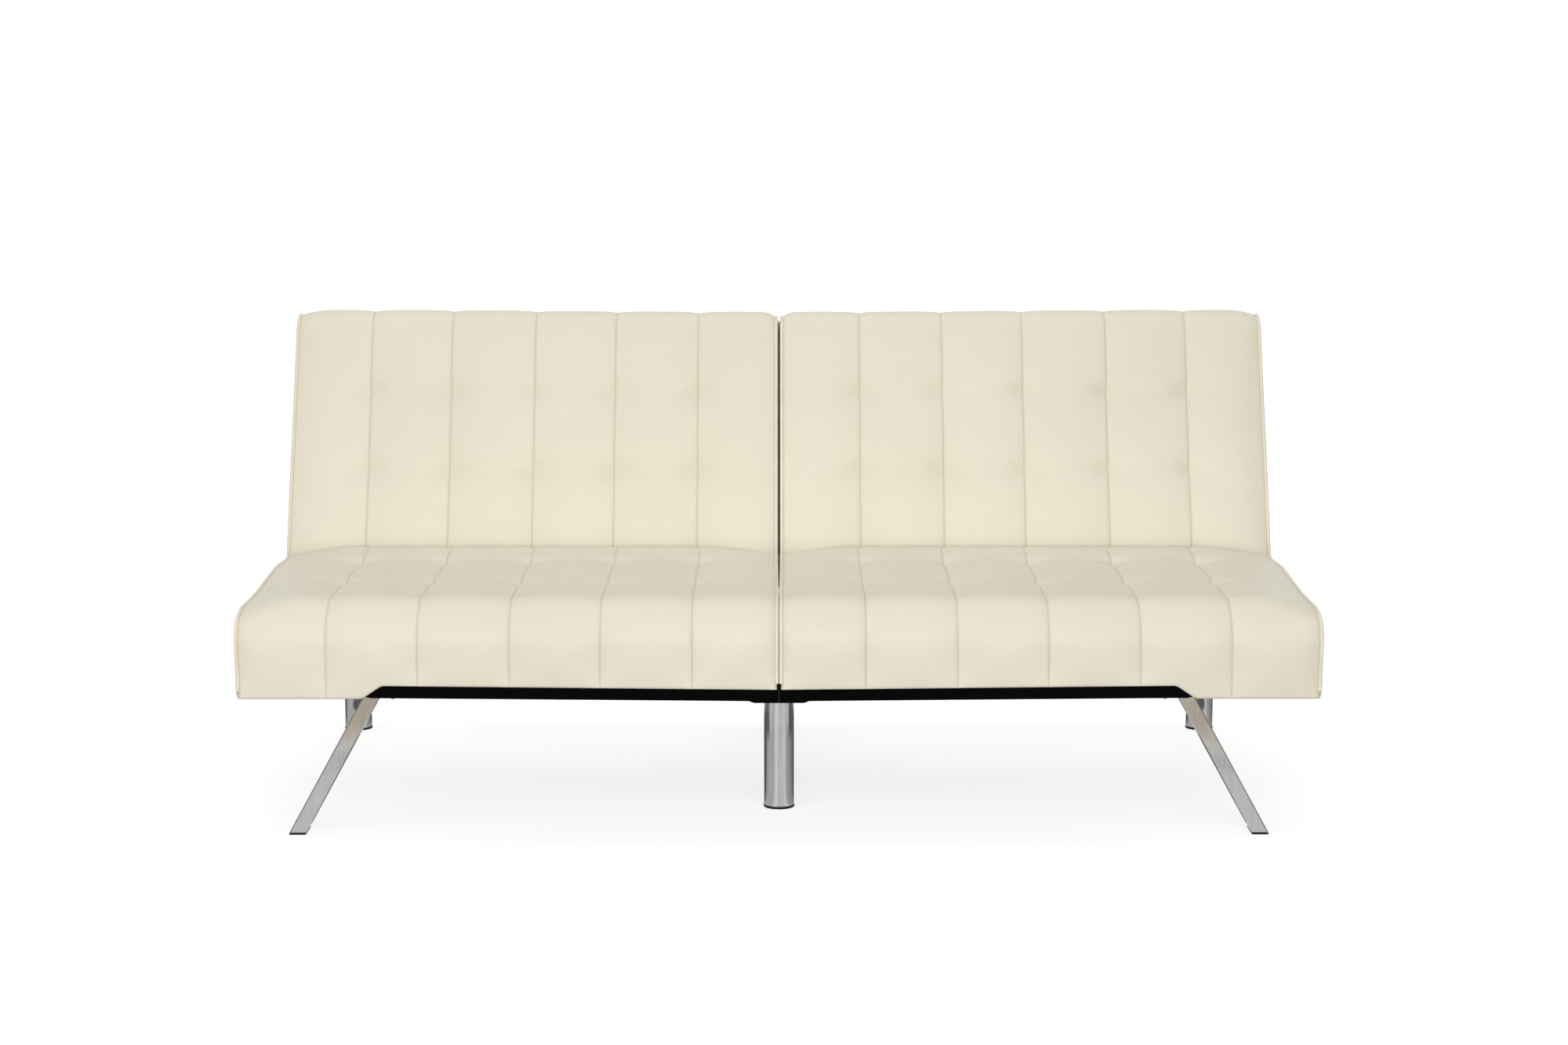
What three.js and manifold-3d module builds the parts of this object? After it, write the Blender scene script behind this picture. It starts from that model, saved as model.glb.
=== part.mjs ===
// A click clack sofa bed: two quilted seats on one steel base, and two quilted backs that recline one by one.
// Millimetres, +Z up, the front faces -Y, +X to the right as seen from the front.
// The origin is on the floor, under the middle of the sofa's width and depth.

import * as THREE from 'three';
import { mergeVertices } from 'three/addons/utils/BufferGeometryUtils.js';
import Module from 'manifold-3d';

const wasm = await Module();
wasm.setup();

// Overall sizes
const overallWidth = 1740;
const overallDepth = 876;
const halvesGap = 4;
const contactGap = 0.3;
const cutOverrun = 40;
const roundSteps = 32;

// Seat cushion, in heights above the steel base
const baseTopZ = 248;
const skirtDrop = 17;
const seatFrontHeight = 136;
const seatRearHeight = 142;
const seatJunctionY = 530;
const waterfallRadius = 75;
const seatRearEdgeRadius = 12;
const seatBackClearance = 7.5;
const notchOuterReach = 12;
const notchInnerReach = 19;

// Back cushion outline, along and behind its front face
const backLean = THREE.MathUtils.degToRad(20);
const backLength = 506;
const backThickness = 115;
const backHiddenLength = 58;
const pivotBehindFace = 46.4;
const backLowerFrontRadius = 30;
const backTopFrontRadius = 45;
const backTopRearRadius = 20;
const backLowerRearRadius = 15;

// Quilting: channels, seams and sewn tufts
const channelCount = 6;
const channelPower = 3;
const seamDepth = 5;
const tuftDepth = 9;
const tuftReach = 26;
const tuftInnerStep = 14;
const tuftOuterStep = 38;
const seatTuftShares = [0.425, 0.783];
const backTuftShares = [0.407, 0.687];
const outerSideDraw = 8;
const innerSideDraw = 2;
const channelStationShares = [0, 0.1, 0.3, 0.5, 0.7, 0.9];
const sideRingShare = 0.8;
const sideBulgeShare = 0.85;

// Cover walls, foam and boards
const coverTopWall = 20;
const coverFaceWall = 18;
const coverSideWall = 20;
const seatFrontWall = 12;
const seatRearWall = 14;
const seatFoamRadius = 57;
const backFoamChamfer = 20;
const deckThickness = 15;
const backDeckThickness = 4;
const rearPanelThickness = 3;

// Steel base
const tubeWall = 1.5;
const runnerWidth = 40;
const runnerHeight = 26;
const crossRailDepth = 40;
const crossRailHeight = 18;
const runnerSideGap = 0.5;
const runnerEdgeMargin = 0.9;

// Dust cover
const fabricThickness = 1.5;
const bandSetback = 4;

// Round legs and their caps
const roundLegRadius = 25;
const centreFrontLegY = 220;
const legPlateThickness = 4;
const rearPlateSize = 60;
const centrePlateWidth = 86;
const capLip = 1;
const capThickness = 4;
const capPlugLength = 20;

// Slanted legs and their pads
const slantedLegWidth = 27;
const slantedLegTopInset = 216;
const slantedLegFootInset = 92;
const slantedLegFrontY = 24;
const slantedLegDepth = 50;
const slantedPlateWidth = 80;
const slantedPlateFrontY = 34;
const slantedPlateDepth = 60;
const padThickness = 2.5;

// Timber frame of each back
const sideRailWidth = 27;
const railDepth = 40;
const topRailHeight = 42;
const lowerRailHeight = 45;

// Hinges: a bracket on the base, an arm on the back and a pin through both
const hingePlate = 4;
const bracketHalfWidth = 18;
const bracketEyeRadius = 20;
const bracketFootLength = 84;
const bracketFootWidth = 24;
const pinRadius = 5;
const pinHeadRadius = 9;
const pinHeadHeight = 5;
const armHalfWidth = 15;
const armStraightLength = 32.5;
const armBendRise = 42;
const armRailLength = 130;
const ratchetRadius = 24;
const ratchetNotchDepth = 4;
const ratchetNotchHalfAngle = THREE.MathUtils.degToRad(7);
const ratchetStops = [0, 30, 70].map(THREE.MathUtils.degToRad);
const pawlClearance = 0.6;
const pawlHalfWidth = 7;
const pawlLength = 14;
const pocketRoom = 8;
const pocketClearance = 1.5;

// Places across the width, worked out from the sizes above
const halfInnerX = halvesGap / 2;
const halfOuterX = overallWidth / 2;
const channelWidth = (halfOuterX - halfInnerX) / channelCount;
const cavityInnerX = halfInnerX + coverSideWall;
const cavityOuterX = halfOuterX - coverSideWall;
const fillInnerX = cavityInnerX + contactGap;
const fillOuterX = cavityOuterX - contactGap;
const hingePack = 2 * hingePlate + 2 * contactGap;
const hingeX = {
  inner: cavityInnerX + pocketRoom,
  outer: fillOuterX - sideRailWidth - hingePack,
};
const innerRunner = [halfInnerX + runnerSideGap, halfInnerX + runnerSideGap + runnerWidth];
const outerRunnerEdge = hingeX.outer + hingePlate + runnerEdgeMargin;
const outerRunner = [outerRunnerEdge - runnerWidth, outerRunnerEdge];
const roundLegX = (outerRunner[0] + outerRunner[1]) / 2;
const slantedLegTopX = halfOuterX - slantedLegTopInset;
const slantedLegFootX = halfOuterX - slantedLegFootInset;
const notchOuterX = slantedLegTopX + notchOuterReach;
const notchInnerX = slantedLegTopX - notchInnerReach;

// Heights
const seatJunctionZ = baseTopZ + seatRearHeight;
const seatFrontTopZ = baseTopZ + seatFrontHeight;
const skirtBottomZ = baseTopZ - skirtDrop;
const deckBottomZ = baseTopZ + contactGap;
const deckTopZ = deckBottomZ + deckThickness;
const coverEdgeZ = baseTopZ + 2 * contactGap;
const runnerBottomZ = baseTopZ - runnerHeight;
const crossRailBottomZ = baseTopZ - crossRailHeight;

// The pivot lies so that a back laid flat has its face at the height of the seat's rear edge
const leanCos = Math.cos(backLean);
const leanSin = Math.sin(backLean);
const pivotAboveEnd = backHiddenLength - pivotBehindFace * (1 - leanSin) / leanCos;
const backEndY = seatJunctionY - backHiddenLength * leanSin;
const backEndZ = seatJunctionZ - backHiddenLength * leanCos;
const pivotY = backEndY + pivotAboveEnd * leanSin + pivotBehindFace * leanCos;
const pivotZ = backEndZ + pivotAboveEnd * leanCos - pivotBehindFace * leanSin;

// Places from front to rear, and behind the face of the back
const seatRearTopY = seatJunctionY - seatBackClearance / leanCos;
const seatRearLowY = backEndY - seatBackClearance / leanCos;
const seatCavityRearY = seatRearLowY - seatRearWall;
const runnerFrontY = seatFrontWall + contactGap;
const rearLegY = overallDepth - rearPlateSize / 2;
const backFoamTop = backLength - coverFaceWall;
const rearPanelFront = backThickness - rearPanelThickness;
const railFront = rearPanelFront - contactGap - railDepth;
const backDeckFront = railFront - contactGap - backDeckThickness;
const backFoamFront = coverFaceWall + contactGap;
const pocketReach = ratchetRadius + pocketClearance;
const armStraightTop = pivotAboveEnd + armStraightLength;
const armBendTop = armStraightTop + armBendRise;
const armPocketTop = armBendTop + armHalfWidth;
const seatTuftRows = seatTuftShares.map((share) => share * seatJunctionY);
const backTuftRows = backTuftShares.map((share) => share * backLength);

// Materials
const imitationLeather = { color: 0xe6e0cd, roughness: 0.5, metalness: 0 };
const blackFabric = { color: 0x0d0b0a, roughness: 0.9, metalness: 0 };
const foam = { color: 0xe3d9b4, roughness: 0.95, metalness: 0 };
const timber = { color: 0xb98f5e, roughness: 0.7, metalness: 0 };
const blackSteel = { color: 0x17181a, roughness: 0.45, metalness: 0.6 };
const zincSteel = { color: 0x9a9da0, roughness: 0.35, metalness: 1 };
const chrome = { color: 0xd5d7d9, roughness: 0.12, metalness: 1 };
const blackPlastic = { color: 0x101011, roughness: 0.5, metalness: 0 };

// Solid helpers

// The vertices and triangles alone, turned over if asked
function meshOf(geometry, turnOver) {
  const bare = geometry.clone();
  bare.deleteAttribute('normal');
  bare.deleteAttribute('uv');
  const merged = mergeVertices(bare);
  const triVerts = new Uint32Array(merged.index.array);
  if (turnOver) triVerts.reverse();
  return new wasm.Mesh({
    numProp: 3,
    vertProperties: new Float32Array(merged.attributes.position.array),
    triVerts,
  });
}

// A solid whose faces point out, whichever way its outline was drawn
function toSolid(geometry) {
  const solid = new wasm.Manifold(meshOf(geometry, false));
  return solid.volume() > 0 ? solid : new wasm.Manifold(meshOf(geometry, true));
}

function toGeometry(solid) {
  const mesh = solid.getMesh();
  const geometry = new THREE.BufferGeometry();
  geometry.setAttribute('position', new THREE.BufferAttribute(mesh.vertProperties, 3));
  geometry.setIndex(new THREE.BufferAttribute(mesh.triVerts, 1));
  geometry.computeVertexNormals();
  return geometry;
}

function block([x0, x1], [y0, y1], [z0, z1]) {
  const geometry = new THREE.BoxGeometry(x1 - x0, y1 - y0, z1 - z0);
  geometry.translate((x0 + x1) / 2, (y0 + y1) / 2, (z0 + z1) / 2);
  return geometry;
}

function shapeOf(points) {
  return new THREE.Shape(points.map(([x, y]) => new THREE.Vector2(x, y)));
}

// An outline of [y, z] points carried from x0 to x1
function acrossX(points, [x0, x1]) {
  const geometry = new THREE.ExtrudeGeometry(shapeOf(points), { depth: x1 - x0, bevelEnabled: false });
  const turn = new THREE.Matrix4().makeBasis(
    new THREE.Vector3(0, 1, 0), new THREE.Vector3(0, 0, 1), new THREE.Vector3(1, 0, 0));
  geometry.applyMatrix4(turn);
  geometry.translate(x0, 0, 0);
  return geometry;
}

// An outline of [x, z] points carried from y0 to y1
function acrossY(points, [y0, y1]) {
  const geometry = new THREE.ExtrudeGeometry(shapeOf(points), { depth: y1 - y0, bevelEnabled: false });
  geometry.rotateX(Math.PI / 2);
  geometry.translate(0, y1, 0);
  return geometry;
}

// A closed outline of [radius, z] points turned about the Z axis
function turned(points) {
  const outline = points.map(([radius, z]) => new THREE.Vector2(radius, z));
  const geometry = new THREE.LatheGeometry(outline, roundSteps);
  geometry.rotateX(Math.PI / 2);
  return geometry;
}

// A rectangular tube, open at both ends of its long axis
function rectangularTube(ranges, longAxis) {
  const bore = ranges.map(([low, high], axis) => (
    axis === longAxis ? [low - cutOverrun, high + cutOverrun] : [low + tubeWall, high - tubeWall]));
  return toGeometry(toSolid(block(...ranges)).subtract(toSolid(block(...bore))));
}

// The points of an outline whose corners are rounded. A corner is {at, radius, steps, run}, where run lists
// the distances of extra points along the straight stretch that follows, counted from where it starts.
function roundedOutline(corners) {
  const arcs = corners.map((corner, i) => {
    const at = new THREE.Vector2(...corner.at);
    const before = new THREE.Vector2(...corners.at(i - 1).at).sub(at).normalize();
    const after = new THREE.Vector2(...corners[(i + 1) % corners.length].at).sub(at).normalize();
    if (!corner.radius) return [at];
    const halfAngle = Math.acos(before.dot(after)) / 2;
    const reach = corner.radius / Math.tan(halfAngle);
    const toCentre = before.clone().add(after).setLength(corner.radius / Math.sin(halfAngle));
    const centre = at.clone().add(toCentre);
    const start = at.clone().addScaledVector(before, reach).sub(centre);
    const end = at.clone().addScaledVector(after, reach).sub(centre);
    const sweep = Math.atan2(start.cross(end), start.dot(end));
    return Array.from({ length: corner.steps + 1 }, (_, k) => (
      start.clone().rotateAround(new THREE.Vector2(), sweep * k / corner.steps).add(centre)));
  });
  return corners.flatMap((corner, i) => {
    const start = arcs[i].at(-1);
    const along = arcs[(i + 1) % arcs.length][0].clone().sub(start).normalize();
    const extra = (corner.run ?? []).map((distance) => start.clone().addScaledVector(along, distance));
    return [...arcs[i], ...extra];
  });
}

const asPairs = (points) => points.map((point) => [point.x, point.y]);

// Outline of a strap of even width whose centre line runs through the points, with square ends
function strapOutline(points, halfWidth) {
  const line = points.map((point) => new THREE.Vector2(...point));
  const offsets = line.map((point, i) => {
    const last = line.length - 1;
    const into = line[Math.max(i, 1)].clone().sub(line[Math.max(i, 1) - 1]).normalize();
    const out = line[Math.min(i + 1, last)].clone().sub(line[Math.min(i, last - 1)]).normalize();
    const mitre = into.clone().add(out).normalize();
    const reach = halfWidth / mitre.dot(into);
    return new THREE.Vector2(-mitre.y, mitre.x).multiplyScalar(reach);
  });
  const left = line.map((point, i) => point.clone().add(offsets[i]));
  const right = line.map((point, i) => point.clone().sub(offsets[i])).reverse();
  return asPairs([...left, ...right]);
}

// Quilted cushions

const seamXs = Array.from({ length: channelCount + 1 }, (_, k) => halfInnerX + k * channelWidth);

// How far the quilting draws the cover in at x, and at a distance along the quilted face
function quiltDepth(x, along, rows, fade) {
  const acrossChannel = (x - halfInnerX) / channelWidth;
  const withinChannel = acrossChannel - Math.floor(acrossChannel);
  const seam = Math.abs(2 * withinChannel - 1) ** channelPower;
  const tufts = seamXs.slice(1, -1).flatMap((seamX) => rows.map((row) => (
    Math.exp(-((x - seamX) ** 2 + (along - row) ** 2) / tuftReach ** 2))));
  return fade * (seamDepth * seam + tuftDepth * Math.max(...tufts));
}

// A closed cushion: the outline of {at, normal, along, fade} points carried across the half, quilted on its
// face and bulging on its two sides between the edge seams
function quiltedForm(outline, rows) {
  const firstX = halfInnerX + innerSideDraw;
  const lastX = halfOuterX - outerSideDraw;
  const inner = seamXs.slice(0, -1).flatMap((seamX) => (
    channelStationShares.map((share) => seamX + share * channelWidth)));
  const stations = [firstX, ...inner.slice(1), lastX];
  const rings = stations.map((x) => outline.map(({ at, normal, along, fade }) => {
    const depth = quiltDepth(x, along, rows, fade);
    return new THREE.Vector3(x, at.x - normal.x * depth, at.y - normal.y * depth);
  }));

  const count = outline.length;
  const sideRing = (ring, edgeX, fullX) => {
    const centre = new THREE.Vector3();
    ring.forEach((point) => centre.addScaledVector(point, 1 / count));
    const inset = ring.map((point) => {
      const moved = point.clone().lerp(centre, 1 - sideRingShare);
      moved.x = THREE.MathUtils.lerp(edgeX, fullX, sideBulgeShare);
      return moved;
    });
    centre.x = fullX;
    return { inset, centre };
  };
  const innerSide = sideRing(rings[0], firstX, halfInnerX);
  const outerSide = sideRing(rings.at(-1), lastX, halfOuterX);
  const all = [innerSide.inset, ...rings, outerSide.inset];

  const positions = all.flat().concat(innerSide.centre, outerSide.centre).flatMap((p) => p.toArray());
  const innerCentre = all.length * count;
  const outerCentre = innerCentre + 1;
  const lastRing = (all.length - 1) * count;
  const triangles = [];
  for (let ring = 0; ring < all.length - 1; ring += 1) {
    for (let i = 0; i < count; i += 1) {
      const a = ring * count + i;
      const b = ring * count + (i + 1) % count;
      triangles.push(a, b, a + count, b, b + count, a + count);
    }
  }
  for (let i = 0; i < count; i += 1) {
    const next = (i + 1) % count;
    triangles.push(innerCentre, next, i, outerCentre, lastRing + i, lastRing + next);
  }
  const geometry = new THREE.BufferGeometry();
  geometry.setAttribute('position', new THREE.Float32BufferAttribute(positions, 3));
  geometry.setIndex(triangles);
  return toSolid(geometry);
}

// Adds to each point of an outline its outward normal, its distance along the face and its share of quilting
function withQuilting(points, alongOf, fadeOf) {
  const area = points.reduce((sum, point, i) => sum + point.cross(points[(i + 1) % points.length]), 0);
  const side = Math.sign(area);
  return points.map((at, i) => {
    const chord = points[(i + 1) % points.length].clone().sub(points.at(i - 1)).normalize();
    const normal = new THREE.Vector2(chord.y, -chord.x).multiplyScalar(side);
    return { at, normal, along: alongOf(at), fade: fadeOf(at, normal) };
  });
}

const tuftSteps = [-tuftOuterStep, -tuftInnerStep, 0, tuftInnerStep, tuftOuterStep];
const tuftRun = (row) => tuftSteps.map((step) => row + step);

// Seat

function seatOutline() {
  const middle = (seatTuftRows[0] + seatTuftRows[1]) / 2;
  const rows = [...tuftRun(seatTuftRows[0]), middle, ...tuftRun(seatTuftRows[1])];
  const topRun = rows.map((y) => y - waterfallRadius);
  const frontRun = seatFrontTopZ - waterfallRadius - skirtBottomZ;
  const points = roundedOutline([
    { at: [0, skirtBottomZ], run: [frontRun / 2] },
    { at: [0, seatFrontTopZ], radius: waterfallRadius, steps: 6, run: topRun },
    { at: [seatRearTopY, seatJunctionZ], radius: seatRearEdgeRadius, steps: 2 },
    { at: [seatRearLowY, backEndZ] },
    { at: [seatRearLowY, skirtBottomZ] },
  ]);
  const face = (at, normal) => (at.x < seatRearTopY - seatRearEdgeRadius && at.y > skirtBottomZ ? 1 : 0);
  return withQuilting(points, (at) => at.x, face);
}

function seatCavity(inset, bottomZ) {
  return asPairs(roundedOutline([
    { at: [seatFrontWall + inset, bottomZ] },
    { at: [seatFrontWall + inset, seatFrontTopZ - coverTopWall - inset], radius: seatFoamRadius, steps: 4 },
    { at: [seatCavityRearY - inset, seatJunctionZ - coverTopWall - inset] },
    { at: [seatCavityRearY - inset, bottomZ] },
  ]));
}

// The lower edge steps up between the slanted legs, for the black band, and at the rear, for the steel
function seatCover() {
  const form = quiltedForm(seatOutline(), seatTuftRows);
  const low = skirtBottomZ - cutOverrun;
  const cavity = acrossX(seatCavity(0, low), [cavityInnerX, cavityOuterX]);
  const middleCut = acrossY([
    [halfInnerX - cutOverrun, low],
    [notchOuterX, low],
    [notchOuterX, skirtBottomZ],
    [notchInnerX, coverEdgeZ],
    [halfInnerX - cutOverrun, coverEdgeZ],
  ], [-cutOverrun, overallDepth]);
  const rearCut = block(
    [halfInnerX - cutOverrun, halfOuterX + cutOverrun],
    [seatCavityRearY - seatRearWall / 2, overallDepth],
    [low, coverEdgeZ]);
  return toGeometry(form.subtract(toSolid(cavity)).subtract(toSolid(middleCut)).subtract(toSolid(rearCut)));
}

function seatFoam() {
  return acrossX(seatCavity(contactGap, deckTopZ + contactGap), [fillInnerX, fillOuterX]);
}

function seatDeck() {
  const depths = [runnerFrontY, seatCavityRearY - contactGap];
  return block([fillInnerX, fillOuterX], depths, [deckBottomZ, deckTopZ]);
}

// Black fabric under the seat: a sheet that drops round the inner runner, with the band along the front
function dustCover() {
  const sheetTop = crossRailBottomZ - contactGap;
  const dipTop = runnerBottomZ - contactGap;
  const dipOuterX = innerRunner[1] + contactGap;
  const sheetOuterX = outerRunner[0] - contactGap;
  const bandTop = baseTopZ + contactGap;
  const whole = acrossY([
    [halfInnerX, dipTop - fabricThickness],
    [dipOuterX + fabricThickness, dipTop - fabricThickness],
    [dipOuterX + fabricThickness, sheetTop - fabricThickness],
    [sheetOuterX, sheetTop - fabricThickness],
    [sheetOuterX, sheetTop],
    [notchOuterX - contactGap, sheetTop],
    [notchOuterX - contactGap, skirtBottomZ - contactGap],
    [notchInnerX, bandTop],
    [halfInnerX, bandTop],
  ], [bandSetback, seatCavityRearY]);
  const aboveSheet = acrossY([
    [halfInnerX - cutOverrun, dipTop],
    [dipOuterX, dipTop],
    [dipOuterX, sheetTop],
    [notchOuterX, sheetTop],
    [notchOuterX, bandTop + cutOverrun],
    [halfInnerX - cutOverrun, bandTop + cutOverrun],
  ], [seatFrontWall, overallDepth]);
  return toGeometry(toSolid(whole).subtract(toSolid(aboveSheet)));
}

// Base tubes of one half

function baseTubes() {
  const runnerZ = [runnerBottomZ, baseTopZ];
  const crossZ = [crossRailBottomZ, baseTopZ];
  const between = [innerRunner[1] + contactGap, outerRunner[0] - contactGap];
  const frontRail = [runnerFrontY, runnerFrontY + crossRailDepth];
  const crossRail = [seatCavityRearY - crossRailDepth, seatCavityRearY];
  return {
    base_front_rail: rectangularTube([[between[0], fillOuterX], frontRail, crossZ], 0),
    base_cross_rail: rectangularTube([between, crossRail, crossZ], 0),
    base_rear_rail: rectangularTube([between, [overallDepth - crossRailDepth, overallDepth], runnerZ], 0),
    base_inner_runner: rectangularTube([innerRunner, [runnerFrontY, overallDepth], runnerZ], 1),
    base_outer_runner: rectangularTube([outerRunner, [frontRail[1] + contactGap, overallDepth], runnerZ], 1),
  };
}

// Legs

// A round tube welded under a plate, open at its foot, with its axis on x = y = 0
function roundLeg(plateTopZ, plateWidth) {
  const plateBottomZ = plateTopZ - legPlateThickness;
  const footZ = capThickness + contactGap;
  const boreRadius = roundLegRadius - tubeWall;
  const tube = turned([
    [boreRadius, footZ],
    [roundLegRadius, footZ],
    [roundLegRadius, plateBottomZ + tubeWall],
    [boreRadius, plateBottomZ + tubeWall],
    [boreRadius, footZ],
  ]);
  const plate = block(
    [-plateWidth / 2, plateWidth / 2], [-rearPlateSize / 2, rearPlateSize / 2], [plateBottomZ, plateTopZ]);
  return toGeometry(toSolid(tube).add(toSolid(plate)));
}

function footCap() {
  const plugRadius = roundLegRadius - tubeWall - contactGap;
  const capRadius = roundLegRadius + capLip;
  return toGeometry(toSolid(turned([
    [0, 0],
    [capRadius, 0],
    [capRadius, capThickness],
    [plugRadius, capThickness],
    [plugRadius, capThickness + capPlugLength],
    [0, capThickness + capPlugLength],
  ])));
}

// A flat bar that splays outward, welded to a plate that bolts up under the front rail
function slantedLeg() {
  const topZ = crossRailBottomZ - 2 * contactGap - fabricThickness;
  const footZ = padThickness + contactGap;
  const half = slantedLegWidth / 2;
  const bar = acrossY([
    [slantedLegFootX - half, footZ],
    [slantedLegFootX + half, footZ],
    [slantedLegTopX + half, topZ],
    [slantedLegTopX - half, topZ],
  ], [slantedLegFrontY, slantedLegFrontY + slantedLegDepth]);
  const plate = block(
    [slantedLegTopX - slantedPlateWidth / 2, slantedLegTopX + slantedPlateWidth / 2],
    [slantedPlateFrontY, slantedPlateFrontY + slantedPlateDepth],
    [topZ - legPlateThickness, topZ]);
  return toGeometry(toSolid(bar).add(toSolid(plate)));
}

function footPad() {
  return block(
    [slantedLegFootX - slantedLegWidth / 2, slantedLegFootX + slantedLegWidth / 2],
    [slantedLegFrontY, slantedLegFrontY + slantedLegDepth],
    [0, padThickness]);
}

// Hinges

function circlePoints(y, z, radius, steps) {
  return Array.from({ length: steps }, (_, k) => {
    const angle = 2 * Math.PI * k / steps;
    return [y + radius * Math.cos(angle), z + radius * Math.sin(angle)];
  });
}

function pinHole(y, z, [x0, x1]) {
  const points = circlePoints(y, z, pinRadius + contactGap, roundSteps / 2);
  return toSolid(acrossX(points, [x0 - cutOverrun, x1 + cutOverrun]));
}

// The bracket stands on a runner: a foot, an upright plate with its eye, and the pawl below the ratchet rim
function hingeBracket(x) {
  const plateX = [x, x + hingePlate];
  const footZ = baseTopZ + contactGap;
  const column = block(plateX, [pivotY - bracketHalfWidth, pivotY + bracketHalfWidth], [footZ, pivotZ]);
  const eye = acrossX(circlePoints(pivotY, pivotZ, bracketEyeRadius, roundSteps), plateX);
  const foot = block(
    [x + hingePlate - bracketFootWidth, x + hingePlate],
    [pivotY - bracketFootLength / 2, pivotY + bracketFootLength / 2],
    [footZ, footZ + hingePlate]);
  const tongueTop = pivotZ - ratchetRadius - pawlClearance;
  const tongue = block(
    [x, x + hingePack - contactGap],
    [pivotY - pawlHalfWidth, pivotY + pawlHalfWidth],
    [tongueTop - pawlLength, tongueTop]);
  return toGeometry(toSolid(column).add(toSolid(eye)).add(toSolid(foot)).add(toSolid(tongue))
    .subtract(pinHole(pivotY, pivotZ, plateX)));
}

function hingePin(x) {
  const headBottom = x - contactGap - pinHeadHeight;
  const shankTop = x + hingePack - contactGap;
  const solid = toSolid(turned([
    [0, headBottom],
    [pinHeadRadius, headBottom],
    [pinHeadRadius, headBottom + pinHeadHeight],
    [pinRadius, headBottom + pinHeadHeight],
    [pinRadius, shankTop],
    [0, shankTop],
  ]));
  const geometry = toGeometry(solid);
  geometry.rotateY(Math.PI / 2);
  geometry.translate(0, pivotY, pivotZ);
  return geometry;
}

// The rim has a notch at each stop, so that the one over the pawl changes as the back turns
function ratchetRim() {
  const pawlAtRest = -Math.PI / 2 - (Math.PI / 2 - backLean);
  const notches = ratchetStops.map((stop) => pawlAtRest + Math.PI / 2 + stop);
  const angles = Array.from({ length: roundSteps }, (_, k) => 2 * Math.PI * k / roundSteps - Math.PI);
  const clearOf = (angle) => (notch) => Math.abs(angle - notch) > ratchetNotchHalfAngle;
  const smooth = angles.filter((angle) => notches.every(clearOf(angle)));
  const rim = smooth.map((angle) => ({ angle, radius: ratchetRadius }));
  const cuts = notches.flatMap((notch) => [
    { angle: notch - ratchetNotchHalfAngle, radius: ratchetRadius },
    { angle: notch, radius: ratchetRadius - ratchetNotchDepth },
    { angle: notch + ratchetNotchHalfAngle, radius: ratchetRadius },
  ]);
  return [...rim, ...cuts].sort((a, b) => a.angle - b.angle).map(({ angle, radius }) => (
    [pivotBehindFace + radius * Math.cos(angle), pivotAboveEnd + radius * Math.sin(angle)]));
}

// The arm runs from the pin up to the side rail, in the back's own frame
function hingeArm(x) {
  const plateX = [x + hingePlate + contactGap, x + hingePack - contactGap];
  const railMiddle = railFront + railDepth / 2;
  const strap = strapOutline([
    [pivotBehindFace, pivotAboveEnd],
    [pivotBehindFace, armStraightTop],
    [railMiddle, armBendTop],
    [railMiddle, armBendTop + armRailLength],
  ], armHalfWidth);
  return toGeometry(toSolid(acrossX(ratchetRim(), plateX)).add(toSolid(acrossX(strap, plateX)))
    .subtract(pinHole(pivotBehindFace, pivotAboveEnd, plateX)));
}

// Back, in its own frame: y behind the front face, z up along it from its lower end

function backOutline() {
  const middle = (backTuftRows[0] + backTuftRows[1]) / 2;
  const rows = [...tuftRun(backTuftRows[0]), middle, ...tuftRun(backTuftRows[1])];
  const points = roundedOutline([
    { at: [0, 0], radius: backLowerFrontRadius, steps: 3, run: rows.map((z) => z - backLowerFrontRadius) },
    { at: [0, backLength], radius: backTopFrontRadius, steps: 4 },
    { at: [backThickness, backLength], radius: backTopRearRadius, steps: 2 },
    { at: [backThickness, 0], radius: backLowerRearRadius, steps: 1 },
  ]);
  const face = (at) => (at.x < backThickness - backTopRearRadius && at.y > backLowerFrontRadius ? 1 : 0);
  return withQuilting(points, (at) => at.y, face);
}

function backFill([front, rear], inset) {
  const low = coverFaceWall + inset;
  const high = backFoamTop - inset;
  return [
    [front, low],
    [rear, low],
    [rear, high],
    [front + backFoamChamfer, high],
    [front, high - backFoamChamfer],
  ];
}

// Room for a bracket that swings from below to behind as the back goes flat
function sweepPocket(x) {
  return toSolid(block(
    [x - pocketRoom, x + hingePack - contactGap / 2],
    [pivotBehindFace - pocketReach, backThickness + cutOverrun],
    [-cutOverrun, pivotAboveEnd + pocketReach]));
}

// Room for an arm that passes through the foam and the deck
function armPocket(x) {
  return toSolid(block(
    [x - pocketRoom, x + hingePack - contactGap / 2],
    [-cutOverrun, backThickness + cutOverrun],
    [-cutOverrun, armPocketTop]));
}

function lessPockets(solid, pocket) {
  return toGeometry(solid.subtract(pocket(hingeX.inner)).subtract(pocket(hingeX.outer)));
}

function backCover() {
  const form = quiltedForm(backOutline(), backTuftRows);
  const depths = [coverFaceWall, backThickness + cutOverrun];
  const cavity = acrossX(backFill(depths, 0), [cavityInnerX, cavityOuterX]);
  return lessPockets(form.subtract(toSolid(cavity)), sweepPocket);
}

function backFoam() {
  const depths = [backFoamFront, backDeckFront - contactGap];
  const body = acrossX(backFill(depths, contactGap), [fillInnerX, fillOuterX]);
  return lessPockets(toSolid(body), armPocket);
}

function backBoard(front, thickness, pocket) {
  const heights = [coverFaceWall + contactGap, backFoamTop - contactGap];
  return lessPockets(toSolid(block([fillInnerX, fillOuterX], [front, front + thickness], heights)), pocket);
}

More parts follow.
